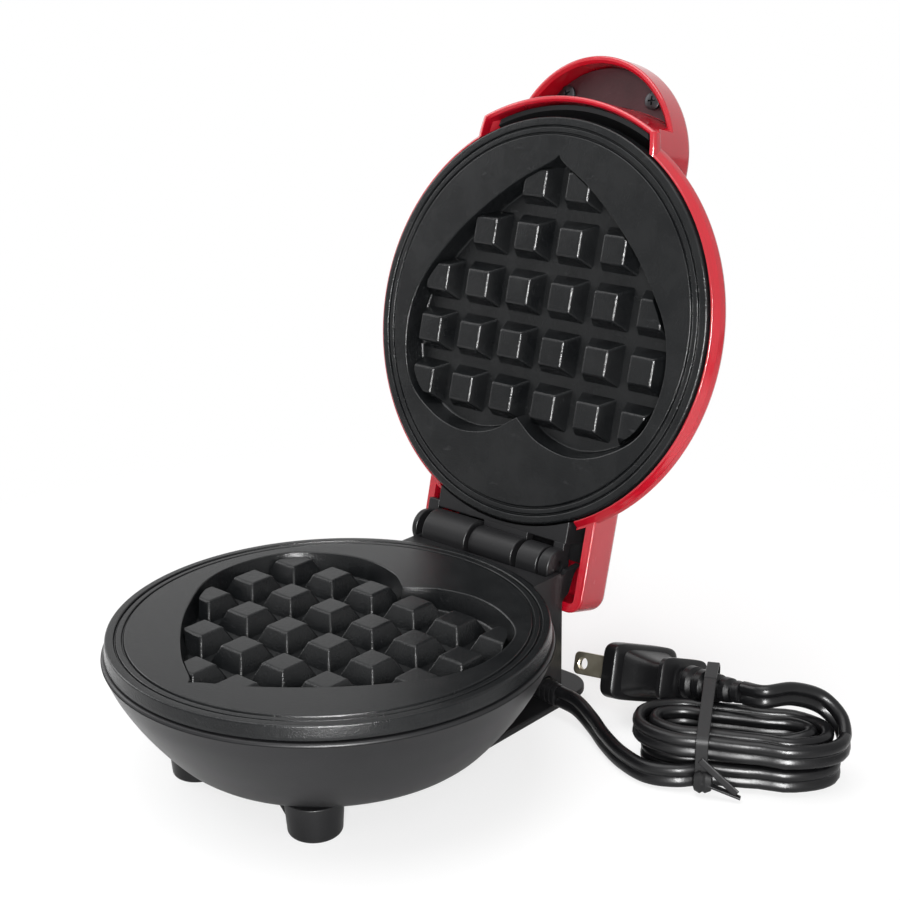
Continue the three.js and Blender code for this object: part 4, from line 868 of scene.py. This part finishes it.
def block(x, y, z, edge=0.0):
    bm = bmesh.new()
    bmesh.ops.create_cube(bm, size=1)
    bmesh.ops.scale(bm, vec=(x[1] - x[0], y[1] - y[0], z[1] - z[0]), verts=bm.verts)
    shifted(bm, (x[0] + x[1]) / 2, (y[0] + y[1]) / 2, (z[0] + z[1]) / 2)
    return soften(bm, edge) if edge else bm


def rod_across(left, right, y, z, radius, edge=0.0, sides=64):
    """A round bar along X with rounded ends."""
    corners = [(0, left, 0), (radius, left, edge), (radius, right, edge), (0, right, 0)]
    return moved(lathe(corners, sides), Matrix.Translation((0, y, z)) @ across)


def pin_bore(height):
    """The hole for the pin, a little wider than it and open at both sides."""
    return cut(rod_across(-31, 27, hinge_y, height, 1.8, 0, 32))


tower_outline = round_corners([
    (tower_front_y, bowl_floor, 0), (slant_front_y, 8.3, 2), (slant_rear_y, tower_bottom, 1),
    (tower_rear_y, tower_bottom, 1), (tower_rear_y, hinge_height - tower_flare - fit_gap, 2),
    (hinge_y + 0.25 * tower_flare, hinge_height - 0.9 * tower_flare, 2),
    (hinge_y + 0.45 * tower_flare, hinge_height - 0.5 * tower_flare, 2),
    (hinge_y + 0.6 * tower_flare, hinge_height - 0.25 * tower_flare, 2),
    (hinge_y + tower_flare, cheek_top, 0.35), (tower_front_y + fit_gap, cheek_top, 0),
])
tower = soften(
    prism_across(tower_outline, -tower_half_width, tower_half_width), 0.6, 3,
    lambda edge: abs(abs(edge.verts[0].co.x) - tower_half_width) < 0.01
    and abs(edge.verts[0].co.x - edge.verts[1].co.x) < 0.01,
)
plate_well_width = 115.5
plate_well = post(
    0, 0, bowl_lip_height - 0.4, face_height + 3, plate_well_width, 0, fine_sides,
)
inside_bowl = turned([
    (0, bowl_bottom + 1), (bowl_flat_radius, bowl_bottom + 1), *in_bowl_wall,
    (in_bowl_wall[-1][0], face_height + 0.5), (0, face_height + 0.5),
], fine_sides)
hollow = prism_across([
    (tower_front_y - 2, bowl_floor), (slant_front_y - 2, -3), (tower_rear_y - 2, -3),
    (tower_rear_y - 2, trough_floor - 2), (tower_front_y - 2, trough_floor - 2),
], -tower_half_width + 2, tower_half_width - 2)
trough = block(
    (-hinge_leaf_half, hinge_leaf_half), (hinge_y - 6, hinge_y + 20),
    (trough_floor, face_height + 3),
)
base_knuckles = [(-22.49, -6.19, 6.2), (12.19, 19.5, 5.2)]
tray_bottom = 15.4
pillar_top = face_height - tray_bottom - fit_gap
pillar_recess_top = pillar_top - 3
stand_screws = [(0, 34.5), (-8, 61.5), (8, 61.5)]
stand_screw_top = 9.3
tower_steps = [
    cut(plate_well), cut(inside_bowl), cut(trough),
    add(turned(bowl_outline, fine_sides)), cut(hollow),
]
for left, right, radius in base_knuckles:
    tower_steps += [
        add(rod_across(left, right, hinge_y, hinge_height, radius, 0.45)),
        add(prism_across([
            (hinge_y - radius, trough_floor - 0.3), (tower_rear_y - 0.35, trough_floor - 0.3),
            (hinge_y + 0.82 * radius, hinge_height - 0.5 * radius),
            (hinge_y + radius, hinge_height), (hinge_y - radius, hinge_height),
        ], left, right)),
    ]
for x, y in screw_places:
    tower_steps += [
        add(post(x, y, bowl_bottom + fit_gap, pillar_top, 9, 0.3)),
        cut(post(x, y, -3, pillar_recess_top, 6.6)),
        bore(x, y, 0, pillar_top + 3),
    ]
tower_steps.append(add(post(0, 30, tower_bottom, bowl_floor - 0.07, 18, 0.4, 64)))
for x, y in stand_screws[1:]:
    tower_steps.append(add(post(x, y, tower_bottom + 0.1, tower_bottom + 15, 7, 0.3)))
for x, y in stand_screws:
    tower_steps.append(bore(x, y, -3, stand_screw_top))
tower_steps += [
    pin_bore(hinge_height),
    cut(drawn_along(relief_place, relief_heading, relief_side, relief_rings(fit_gap))),
]
make_piece(
    "bowl_and_tower", combine(tower, *tower_steps), black_plastic, "base", on_base,
    ["base_shell"],
)

# Screws: zinc-plated steel pan heads with a cross recess. They hold both plates, the lid frame, the
# handle's panel and, from underneath, the rear stand.
crown_turn = 72
crown_share = 0.32
slot_reach = 1.7
slot_half_width = 0.32
slot_taper = 0.55
plate_screw_grip = 4.5
screw_steel = make_material(
    "screw_steel", (0.40, 0.40, 0.41), (0.58, 0.58, 0.60), (0.28, 0.42), 0.00001, grain=1200,
    patches=300, scratches=0.4, marks=300, worn_colour=(0.25, 0.25, 0.26),
    shader={"Metallic": 1.0},
)


def screw(radius, head_height, shank_length):
    """Head down, shank up; the flat under the head lies at height 0."""
    crown = []
    for turn in range(0, crown_turn + 1, 12):
        angle, last = math.radians(turn), math.radians(crown_turn)
        rise = crown_share * head_height * (1 - math.cos(angle)) / (1 - math.cos(last))
        crown.append((radius * math.sin(angle) / math.sin(last), rise - head_height))
    outline = [
        *crown, (radius, -0.15), (radius - 0.15, 0), (1.5, 0), (1.5, shank_length - 0.5),
        (1.0, shank_length), (0, shank_length),
    ]
    slots = []
    for x, y in ((slot_reach, slot_half_width), (slot_half_width, slot_reach)):
        slot = block((-x, x), (-y, y), (-head_height - 1, -head_height + 1))
        for vert in slot.verts:
            if vert.co.z > -head_height:
                vert.co.x *= slot_taper
                vert.co.y *= slot_taper
        slots.append(cut(slot))
    return combine(turned(outline, 40), *slots)


def place_screw(
    name, x, y, height, turn, shank_length, body, place, node, up=True, head=2.0, radius=2.9,
    finish=screw_steel,
):
    bm = screw(radius, head, shank_length)
    flip = Matrix.Identity(4) if up else Matrix.Rotation(math.pi, 4, "X")
    spot = Matrix.Translation((x, y, height)) @ Matrix.Rotation(math.radians(turn), 4, "Z") @ flip
    return make_piece(name, bm, finish, body, place @ spot, [node])


for i, (x, y) in enumerate(screw_places):
    reach = face_height - element_bottom + plate_screw_grip - (pillar_recess_top - fit_gap)
    place_screw(
        f"lower_plate_bolt_{i + 1}", x, y, pillar_recess_top - fit_gap, 20 + 50 * i, reach,
        "base", on_base, f"lower_plate_screw_{i + 1}",
    )

# Rear stand: a flat black moulding under the tower that stops the open appliance tipping back. It
# is held by three screws in counterbores.
stand_thickness = 2
stand_outline = round_corners([
    (-28.5, 20, 8.5), (28.5, 20, 8.5), (28.5, 77, 8.5), (-28.5, 77, 8.5),
], 10)
stand_solid = soften(prism(stand_outline, 0, stand_thickness), 0.5, 3, least=60)
stand_steps = []
for x, y in stand_screws:
    stand_steps += [
        cut(post(x, y, -3, 1.3, 6.4)), bore(x, y, 0, 5),
    ]
make_piece(
    "stand", combine(stand_solid, *stand_steps), black_plastic, "base", on_base,
    ["rear_stand"],
)
for i, (x, y) in enumerate(stand_screws):
    place_screw(
        f"stand_bolt_{i + 1}", x, y, 1, 10 + 35 * i, stand_screw_top - fit_gap - 1,
        "base", on_base, f"rear_stand_screw_{i + 1}", head=0.7,
    )

# Front feet: two tapered black posts moulded solid, each with a thin three-cornered web toward the
# middle, fixed up into the bowl.
foot_top = bowl_bottom - fit_gap
foot_circle = 35.8
foot_angle = math.radians(52)
for name, side in (("left", -1), ("right", 1)):
    foot = lathe([(0, 0, 0), (6.8, 0, 1.1), (7.5, foot_top, 0.3), (0, foot_top, 0)], 72, 6)
    web = prism([(4.0, foot_top), (4.0, 0.4), (9.2, 0.4), (18.5, foot_top)], -1.2, 1.2)
    web = moved(soften(web, 0.3, 2, least=50), Matrix.Rotation(math.pi / 2, 4, "X"))
    foot = combine(foot, add(web))
    turn = Matrix.Rotation(math.pi, 4, "Z") if side > 0 else Matrix.Identity(4)
    spot = Matrix.Translation((
        side * foot_circle * math.cos(foot_angle), -foot_circle * math.sin(foot_angle), 0,
    ))
    make_piece(
        f"foot_{name}", foot, black_plastic, "base", on_base @ spot @ turn,
        [f"front_foot_{name}"],
    )

# Hinge pin: a plain 3 mm steel wire with a black oxide finish, through all five knuckles. Its
# rounded ends lie just inside the outer ones.
black_steel = make_material(
    "black_steel", (0.030, 0.030, 0.032), (0.060, 0.060, 0.064), (0.3, 0.45), 0.00001, grain=1200,
    patches=300, scratches=0.4, marks=300, worn_colour=(0.14, 0.14, 0.15),
    shader={"Metallic": 1.0},
)
make_piece(
    "pin", rod_across(-27.3, 23.2, hinge_y, hinge_height, 1.5, 0.3, 40), black_steel, "base",
    on_base, ["hinge_pin"],
)

# Lid frame: a black moulding that carries the upper plate. A ring lies behind the plate, a bridge
# passes out over the rim to a thick leaf with three knuckles, one of them outside the tower, and an
# apron at the front closes the room under the lip.
frame_depth = tray_bottom + fit_gap
frame_thickness = 2
riser_y = 45.6
bridge_depth = 10.6
leaf_near = 0.5
leaf_rear_y = hinge_y - 6.45
tail_inner_depth = 14
lid_knuckles = [(-27.6, -25.75), (-5.84, 10.29), (19.85, 23.5)]
rim_depth = 3
lid_wall = 2
dome_radius = 60
dome_height = 31
lip_radius = 63.1
lip_wall = 1.6
bill_radius = 28.9
bill_centre_y = -47.4
apron_half_width = 14
frame_screws = {"left": (-13, 52.2), "right": (13, 52.2)}
terminal_circle = 38
dome_shares = [
    (1, 0.097), (0.993, 0.177), (0.955, 0.29), (0.908, 0.419), (0.833, 0.613),
    (0.733, 0.79), (0.6, 0.903), (0.433, 0.974), (0.167, 1), (0, 1),
]
dome_side = smooth_route([(r * dome_radius, h * dome_height) for r, h in dome_shares], 5, 0)
dome_side = [(max(r, 0), h) for r, h in dome_side]


def dome_inside(wall):
    """The room under the dome: its side points inward, so the wall is taken off there."""
    points = [(r, h) for r, h in behind(dome_side, wall) if h > rim_depth + 1.2 and r > 0.5]
    low = [(0, 0), (dome_radius - wall, 0), (dome_radius - wall, rim_depth + 1)]
    return [*low, *points, (0, dome_height - wall)]


half = hinge_leaf_half
frame_back = frame_depth + frame_thickness
bridge_back = bridge_depth + frame_thickness
riser_back = riser_y + frame_thickness
frame_room = combine(
    turned(dome_inside(lid_wall + fit_gap), 96),
    add(block((-half, half), (44.3, hinge_y), (0, tail_inner_depth - fit_gap))),
)
ring_outline = [(20, frame_depth), (47, frame_depth), (47, frame_back), (20, frame_back)]
frame_blocks = [
    (half, (riser_y - 2.6, riser_back), (frame_depth, frame_back)),
    (half, (riser_y, riser_back), (bridge_depth, frame_back)),
    (half, (riser_y, leaf_rear_y), (bridge_depth, bridge_back)),
    (half - 0.5, (riser_y, hinge_y - 0.3), (bridge_depth + 0.2, bridge_back - 0.2)),
]
lid_frame = combine(
    turned(ring_outline, 96, closed=True),
    *[add(block((-side, side), y, z)) for side, y, z in frame_blocks], meet(frame_room),
)
leaf = combine(
    block((-half, half), (51.5, leaf_rear_y), (leaf_near, bridge_back), 0.4),
    cut(post(0, 0, 0, bridge_depth, plate_well_width, 0, 128)),
)
apron_sides = post(0, bill_centre_y, 0, frame_back, 2 * (bill_radius - lip_wall - fit_gap), 0, 128)
in_front = block((-40, 40), (-80, bill_centre_y - fit_gap), (-1, dome_height))
apron_root = block(
    (-apron_half_width, apron_half_width), (-55, -45.5), (frame_depth + 0.1, frame_back - 0.3),
)
apron = combine(
    turned([
        (lip_radius - lip_wall - 1.9, 4), (lip_radius - lip_wall - 0.6, 4),
        (55.6, frame_back - 0.2), (54.3, frame_back - 0.2),
    ], 128, closed=True),
    meet(combine(apron_sides, meet(in_front))), add(apron_root),
)
frame_steps = [add(leaf), add(apron)]
for left, right in lid_knuckles:
    frame_steps += [
        add(rod_across(left, right, hinge_y, lid_hinge_height, 5, 0.45)),
        add(block(
            (left, right), (leaf_rear_y - 0.3, hinge_y), (leaf_near, leaf_near + 3), 0.25,
        )),
    ]
frame_steps.append(add(block(
    (lid_knuckles[0][0], -half + fit_gap), (leaf_rear_y - 2, leaf_rear_y + 2),
    (leaf_near, rim_depth - fit_gap), 0.3,
)))
for x, y in (*screw_places, *frame_screws.values()):
    frame_steps.append(bore(x, y, 0, dome_height))
for side in (1, -1):
    angle = math.pi / 2 + side * (math.radians(35) + 3 / terminal_circle)
    x, y = terminal_circle * math.cos(angle), terminal_circle * math.sin(angle)
    frame_steps.append(cut(post(x, y, 0, dome_height, 5.2, 0, 24)))
frame_steps.append(pin_bore(lid_hinge_height))
make_piece(
    "frame_and_leaf", combine(lid_frame, *frame_steps), black_plastic, "lid", on_lid,
    ["lid_frame"],
)

for i, (x, y) in enumerate(screw_places):
    head = frame_back + fit_gap
    place_screw(
        f"upper_plate_bolt_{i + 1}", -x, y, head, 15 + 40 * i,
        head - (element_bottom - plate_screw_grip),
        "lid", on_lid, f"upper_plate_screw_{i + 1}", up=False,
    )
for name, (x, y) in frame_screws.items():
    place_screw(
        f"frame_bolt_{name}", x, y, bridge_depth - fit_gap, 30, 3.2,
        "lid", on_lid, f"lid_frame_screw_{name}",
    )

# Lid shell: glossy red polypropylene, moulded in one piece with the raised lip at its front, the
# handle's bill above that and the squared tail that covers the hinge.
red_plastic = make_material(
    "lid_red", (0.34, 0.003, 0.011), (0.41, 0.004, 0.015), (0.13, 0.22), 0.00008, grain=160,
    patches=22, scratches=0.2, marks=45, worn_colour=(0.62, 0.10, 0.13),
    shader={"Coat Weight": 0.25, "Coat Roughness": 0.06},
)
lip_reach = 31.2
lip_depth = 0.7
bill_edge_depth = 13
bill_roof = 23.6
bill_wall = 2
bill_round = 3.2
panel_depth = 20
panel_thickness = 1.2
panel_screw = (15.0, -65.6)
tail_half_width = 30.8
tail_end_y = 78
tail_top = 16
tail_wall = 2.8
rim_front = 1.1
rim_inner = 57.7
dome_outline = round_corners([
    (0, rim_front, 0), (58.1, rim_front, 0.3), (58.6, 1.9, 0.4), (59.4, 3, 0.9),
    *[(r, h, 0) for r, h in dome_side[:-1] if h > 4.3], (0, dome_height, 0),
])
dome = turned(dome_outline, fine_sides)
lip_ends = lathe([
    (0, lip_depth - 0.01, 0), (lip_reach, lip_depth - 0.01, 1.3), (lip_reach, 3.4, 1.2),
    (bill_radius + 0.05, 6.4, 2.5), (bill_radius + 0.05, bill_edge_depth + 1.6, 0),
    (0, bill_edge_depth + 1.6, 0),
], fine_sides, y=bill_centre_y)
collar = combine(lathe([
    (0, lip_depth, 0), (lip_radius, lip_depth, 0.75), (lip_radius, bill_roof - 1.6, 0.5),
    (0, bill_roof - 1.6, 0),
], fine_sides), meet(lip_ends))
bill = lathe([
    (0, bill_edge_depth, 0), (bill_radius, bill_edge_depth, 0.7),
    (bill_radius, bill_roof, bill_round), (0, bill_roof, 0),
], 128, 8, bill_centre_y)
tail_outline = round_corners([
    (-tail_half_width, -10, 0), (tail_half_width, -10, 0), (tail_half_width, tail_end_y, 5),
    (-tail_half_width, tail_end_y, 5),
], 8)
tail_body = prism(tail_outline, rim_depth, tail_top)
for radius, steps, height in ((3.6, 6, tail_top), (0.6, 3, rim_depth)):
    tail_body = soften(
        tail_body, radius, steps,
        lambda edge: all(abs(v.co.z - height) < 0.1 for v in edge.verts), least=60,
    )
tail_channel = combine(
    block(
        (-tail_half_width + tail_wall, tail_half_width - tail_wall), (0, tail_end_y - tail_wall),
        (0, tail_inner_depth), 1.2,
    ),
    cut(turned([(0, -5), (dome_radius, -5), *dome_side[:-1], (0, dome_height)], 128)),
)
tail_body = combine(tail_body, cut(tail_channel))
lip_room = turned([
    (0, -3), (lip_reach - lip_wall, -3), (lip_reach - lip_wall, 4), (bill_radius - lip_wall, 7),
    (bill_radius - lip_wall, bill_roof), (0, bill_roof),
], 128)
shifted(lip_room, 0, bill_centre_y)
front_cavity = combine(
    lathe([
        (0, -2, 0), (lip_radius, -2, 0), (lip_radius - lip_wall + 0.7, lip_depth - 0.1, 0),
        (lip_radius - lip_wall, lip_depth + 0.7, 0.6), (lip_radius - lip_wall, panel_depth, 0),
        (0, panel_depth, 0),
    ], fine_sides),
    meet(combine(
        lip_room, meet(block((-40, 40), (-80, bill_centre_y), (-4, bill_roof + 1))),
    )),
)
recess_radius = bill_radius - bill_wall
recess_end = panel_depth + panel_thickness + fit_gap
recess = combine(
    lathe([
        (0, 0, 0), (recess_radius + 0.8, 0, 0), (recess_radius + 0.8, bill_edge_depth, 0),
        (recess_radius, bill_edge_depth + 0.8, 0.6), (recess_radius, recess_end, 0),
        (0, recess_end, 0),
    ], 128, y=bill_centre_y),
    cut(post(0, 0, -2, bill_roof + 3, 2 * lip_radius, 0, fine_sides)),
)
notch = block((-25, 25), (44, hinge_y), (-1, tail_inner_depth))
shell_steps = [
    add(collar), add(bill), add(tail_body),
    cut(turned([
        (0, -1), (rim_inner, -1), (rim_inner, rim_depth - 0.5), *dome_inside(lid_wall)[2:],
    ], fine_sides)),
    cut(front_cavity),
    cut(recess), cut(notch),
]
for x, y in frame_screws.values():
    shell_steps += [
        add(post(x, y, bridge_depth + 2.3, 15, 6.4, 0.3)), bore(x, y, -1, tail_inner_depth),
        bore(math.copysign(panel_screw[0], x), panel_screw[1], 0, bill_roof - 0.5),
    ]
lens_y = 27 - dome_radius
shell_steps.append(cut(post(0, lens_y, 10, dome_height + 3, 6.6, 0, 40)))
make_piece(
    "red_shell", combine(dome, *shell_steps), red_plastic, "lid", on_lid,
    ["lid_shell"],
)

# Handle panel: a crescent that closes the underside of the handle, held by two screws. Its dark red
# colour is painted shade: the red plastic is darkened to stand for the shadow under the handle.
# Painted shade: these colours are the handle's red plastic darkened as if it lay in shadow.
painted_shade_panel_red = make_material(
    "handle_panel_dark", (0.030, 0.008, 0.010), (0.052, 0.014, 0.018), (0.28, 0.4), 0.00005,
    grain=900, patches=60, scratches=0.3, marks=80, worn_colour=(0.25, 0.10, 0.11),
    shader={"Specular IOR Level": 0.3},
)
panel = post(
    0, bill_centre_y, panel_depth, panel_depth + panel_thickness,
    2 * (recess_radius - 0.2), 0.3, 128,
)
panel_steps = [cut(post(0, 0, -1, dome_height, 2 * (lip_radius + fit_gap), 0, fine_sides))]
for x in (-panel_screw[0], panel_screw[0]):
    panel_steps.append(bore(x, panel_screw[1], panel_depth - 2, panel_depth + 4))
make_piece(
    "handle_underside", combine(panel, *panel_steps), painted_shade_panel_red, "lid", on_lid,
    ["handle_panel"],
)
for name, side in (("left", -1), ("right", 1)):
    height = panel_depth - fit_gap
    place_screw(
        f"handle_bolt_{name}", side * panel_screw[0], panel_screw[1], height, 25 - 30 * side,
        bill_roof - 0.5 - 2 * fit_gap - height, "lid", on_lid, f"handle_screw_{name}",
        head=1.3, radius=2.5, finish=black_steel,
    )

# Pilot light: a small translucent lens pressed through the dome from inside, over its lamp.
lens_blue = make_material(
    "lens", (0.10, 0.30, 0.60), (0.16, 0.40, 0.72), (0.06, 0.12), 0.00001, grain=800,
    scratches=0.1, shader={"Coat Weight": 0.5, "Emission Strength": 0.0},
)
lens_flange_top = dome_height - lid_wall - 5
lens_top = dome_height - lid_wall + 0.5
lens = lathe([
    (0, lens_flange_top - 1.2, 0), (4.2, lens_flange_top - 1.2, 0.2), (4.2, lens_flange_top, 0.2),
    (3, lens_flange_top, 0), (3, lens_top, 0.9), (0, lens_top, 0),
], 48, 5, lens_y)
make_piece("pilot_lens", lens, lens_blue, "lid", on_lid, ["indicator_lens"])


# Hidden works: heating rods, reflector trays, thermostat, fuse, lamp and terminal block keep their
# CAD solids, and get the finish each has in the real appliance.
def dress(nodes, *finish, **more):
    material = make_material(*finish, **more)
    for name in nodes:
        frame["nodes"][name].data.materials.clear()
        frame["nodes"][name].data.materials.append(material)


metal = {"Metallic": 1.0}
dress(
    ["lower_heating_element", "upper_heating_element"], "element_steel", (0.22, 0.17, 0.14),
    (0.42, 0.40, 0.42), (0.30, 0.48), 0.00002, grain=900, patches=120, scratches=0.4,
    worn_colour=(0.16, 0.20, 0.30), shader=metal,
)
dress(
    ["lower_reflector_tray", "upper_reflector_tray"], "tray_metal", (0.60, 0.61, 0.62),
    (0.76, 0.77, 0.78), (0.25, 0.42), 0.00002, grain=700, patches=50, scratches=0.6, marks=90,
    worn_colour=(0.42, 0.43, 0.44), shader=metal,
)
dress(
    ["thermostat", "indicator_lamp"], "phenolic", (0.030, 0.020, 0.016), (0.055, 0.038, 0.030),
    (0.45, 0.62), 0.00005, grain=1100, patches=140, scratches=0.3, worn_colour=(0.12, 0.09, 0.08),
)
dress(
    ["thermal_fuse"], "fuse_metal", (0.52, 0.53, 0.54), (0.68, 0.69, 0.70), (0.25, 0.4), 0.00001,
    grain=1000, patches=200, scratches=0.5, worn_colour=(0.36, 0.36, 0.37), shader=metal,
)
dress(
    ["terminal_block"], "ceramic", (0.66, 0.63, 0.56), (0.78, 0.75, 0.68), (0.55, 0.7), 0.00006,
    grain=1300, patches=150, scratches=0.35, worn_colour=(0.5, 0.46, 0.4),
)

# Studio: a large white table and white surroundings. The camera and reflections see white, and a
# faint soft shadow stays under the appliance.
bpy.context.scene.view_settings.view_transform = "Standard"
world = bpy.data.worlds.new("studio")
bpy.context.scene.world = world
world.use_nodes = True
tree = world.node_tree
tree.nodes.clear()
ways = add_node(tree, "ShaderNodeLightPath")
camera_or_glossy = add_node(tree, "ShaderNodeMath", operation="MAXIMUM")
seen = add_node(tree, "ShaderNodeMath", operation="MAXIMUM")
seen_white = add_node(tree, "ShaderNodeBackground", {"Color": (1, 1, 1, 1), "Strength": 1.0})
ambient = add_node(tree, "ShaderNodeBackground", {"Color": (1, 1, 1, 1), "Strength": 0.35})
mixed = add_node(tree, "ShaderNodeMixShader")
output = add_node(tree, "ShaderNodeOutputWorld")
wire(
    tree, (ways, "Is Camera Ray", camera_or_glossy, 0),
    (ways, "Is Glossy Ray", camera_or_glossy, 1), (camera_or_glossy, "Value", seen, 0),
    (ways, "Is Transmission Ray", seen, 1), (seen, "Value", mixed, "Fac"),
    (ambient, "Background", mixed, 1), (seen_white, "Background", mixed, 2),
    (mixed, "Shader", output, "Surface"),
)

floor_material = bpy.data.materials.new("white_table")
floor_material.use_nodes = True
tree = floor_material.node_tree
table = tree.nodes["Principled BSDF"]
table.inputs["Base Color"].default_value = (0.86, 0.86, 0.86, 1)
table.inputs["Roughness"].default_value = 0.7
glow = add_node(tree, "ShaderNodeEmission", {"Color": (1, 1, 1, 1), "Strength": 1.0})
mixed = add_node(tree, "ShaderNodeMixShader")
ways = add_node(tree, "ShaderNodeLightPath")
place = add_node(tree, "ShaderNodeTexCoord")
far = add_node(tree, "ShaderNodeVectorMath", operation="LENGTH")
fade = add_node(tree, "ShaderNodeMapRange", {
    "From Min": 0.06, "From Max": 0.24, "To Min": 0.70, "To Max": 1.0,
})
seen = add_node(tree, "ShaderNodeMath", operation="MAXIMUM")
camera_only = add_node(tree, "ShaderNodeMath", operation="MULTIPLY")
wire(
    tree, (place, "Object", far, 0), (far, "Value", fade, "Value"),
    (ways, "Is Camera Ray", seen, 0), (ways, "Is Transmission Ray", seen, 1),
    (seen, "Value", camera_only, 0), (fade, "Result", camera_only, 1),
    (camera_only, "Value", mixed, "Fac"), (table, "BSDF", mixed, 1), (glow, "Emission", mixed, 2),
    (mixed, "Shader", tree.nodes["Material Output"], "Surface"),
)
bm = bmesh.new()
bmesh.ops.create_grid(bm, x_segments=8, y_segments=8, size=3)
mesh = bpy.data.meshes.new("table")
bm.to_mesh(mesh)
bm.free()
mesh.materials.append(floor_material)
floor = bpy.data.objects.new("table", mesh)
bpy.context.scene.collection.objects.link(floor)


def soft_light(name, place, target, width, height, power):
    """A rectangular softbox that points at a place on the appliance."""
    light = bpy.data.objects.new(name, bpy.data.lights.new(name, "AREA"))
    light.data.shape = "RECTANGLE"
    light.data.size = width
    light.data.size_y = height
    light.data.energy = power
    bpy.context.scene.collection.objects.link(light)
    light.location = place
    light.rotation_euler = (Vector(target) - Vector(place)).to_track_quat("-Z", "Y").to_euler()
    return light


soft_light("top softbox", (-0.15, -0.15, 1.1), (0, 0, 0.05), 0.9, 0.9, 11)
soft_light("left softbox", (-1.0, -0.25, 0.55), (0, 0, 0.07), 0.6, 0.6, 5)
soft_light("front light", (0.40, -0.42, 0.26), (0, 0, 0.07), 0.16, 0.16, 3.4)
# A narrow tube beside the camera gives the bright lines on edges; it adds nothing to matt surfaces.
tube = soft_light("edge tube", (0.40, -0.42, 0.22), (0, 0, 0.07), 0.05, 0.38, 12)
tube.visible_diffuse = False
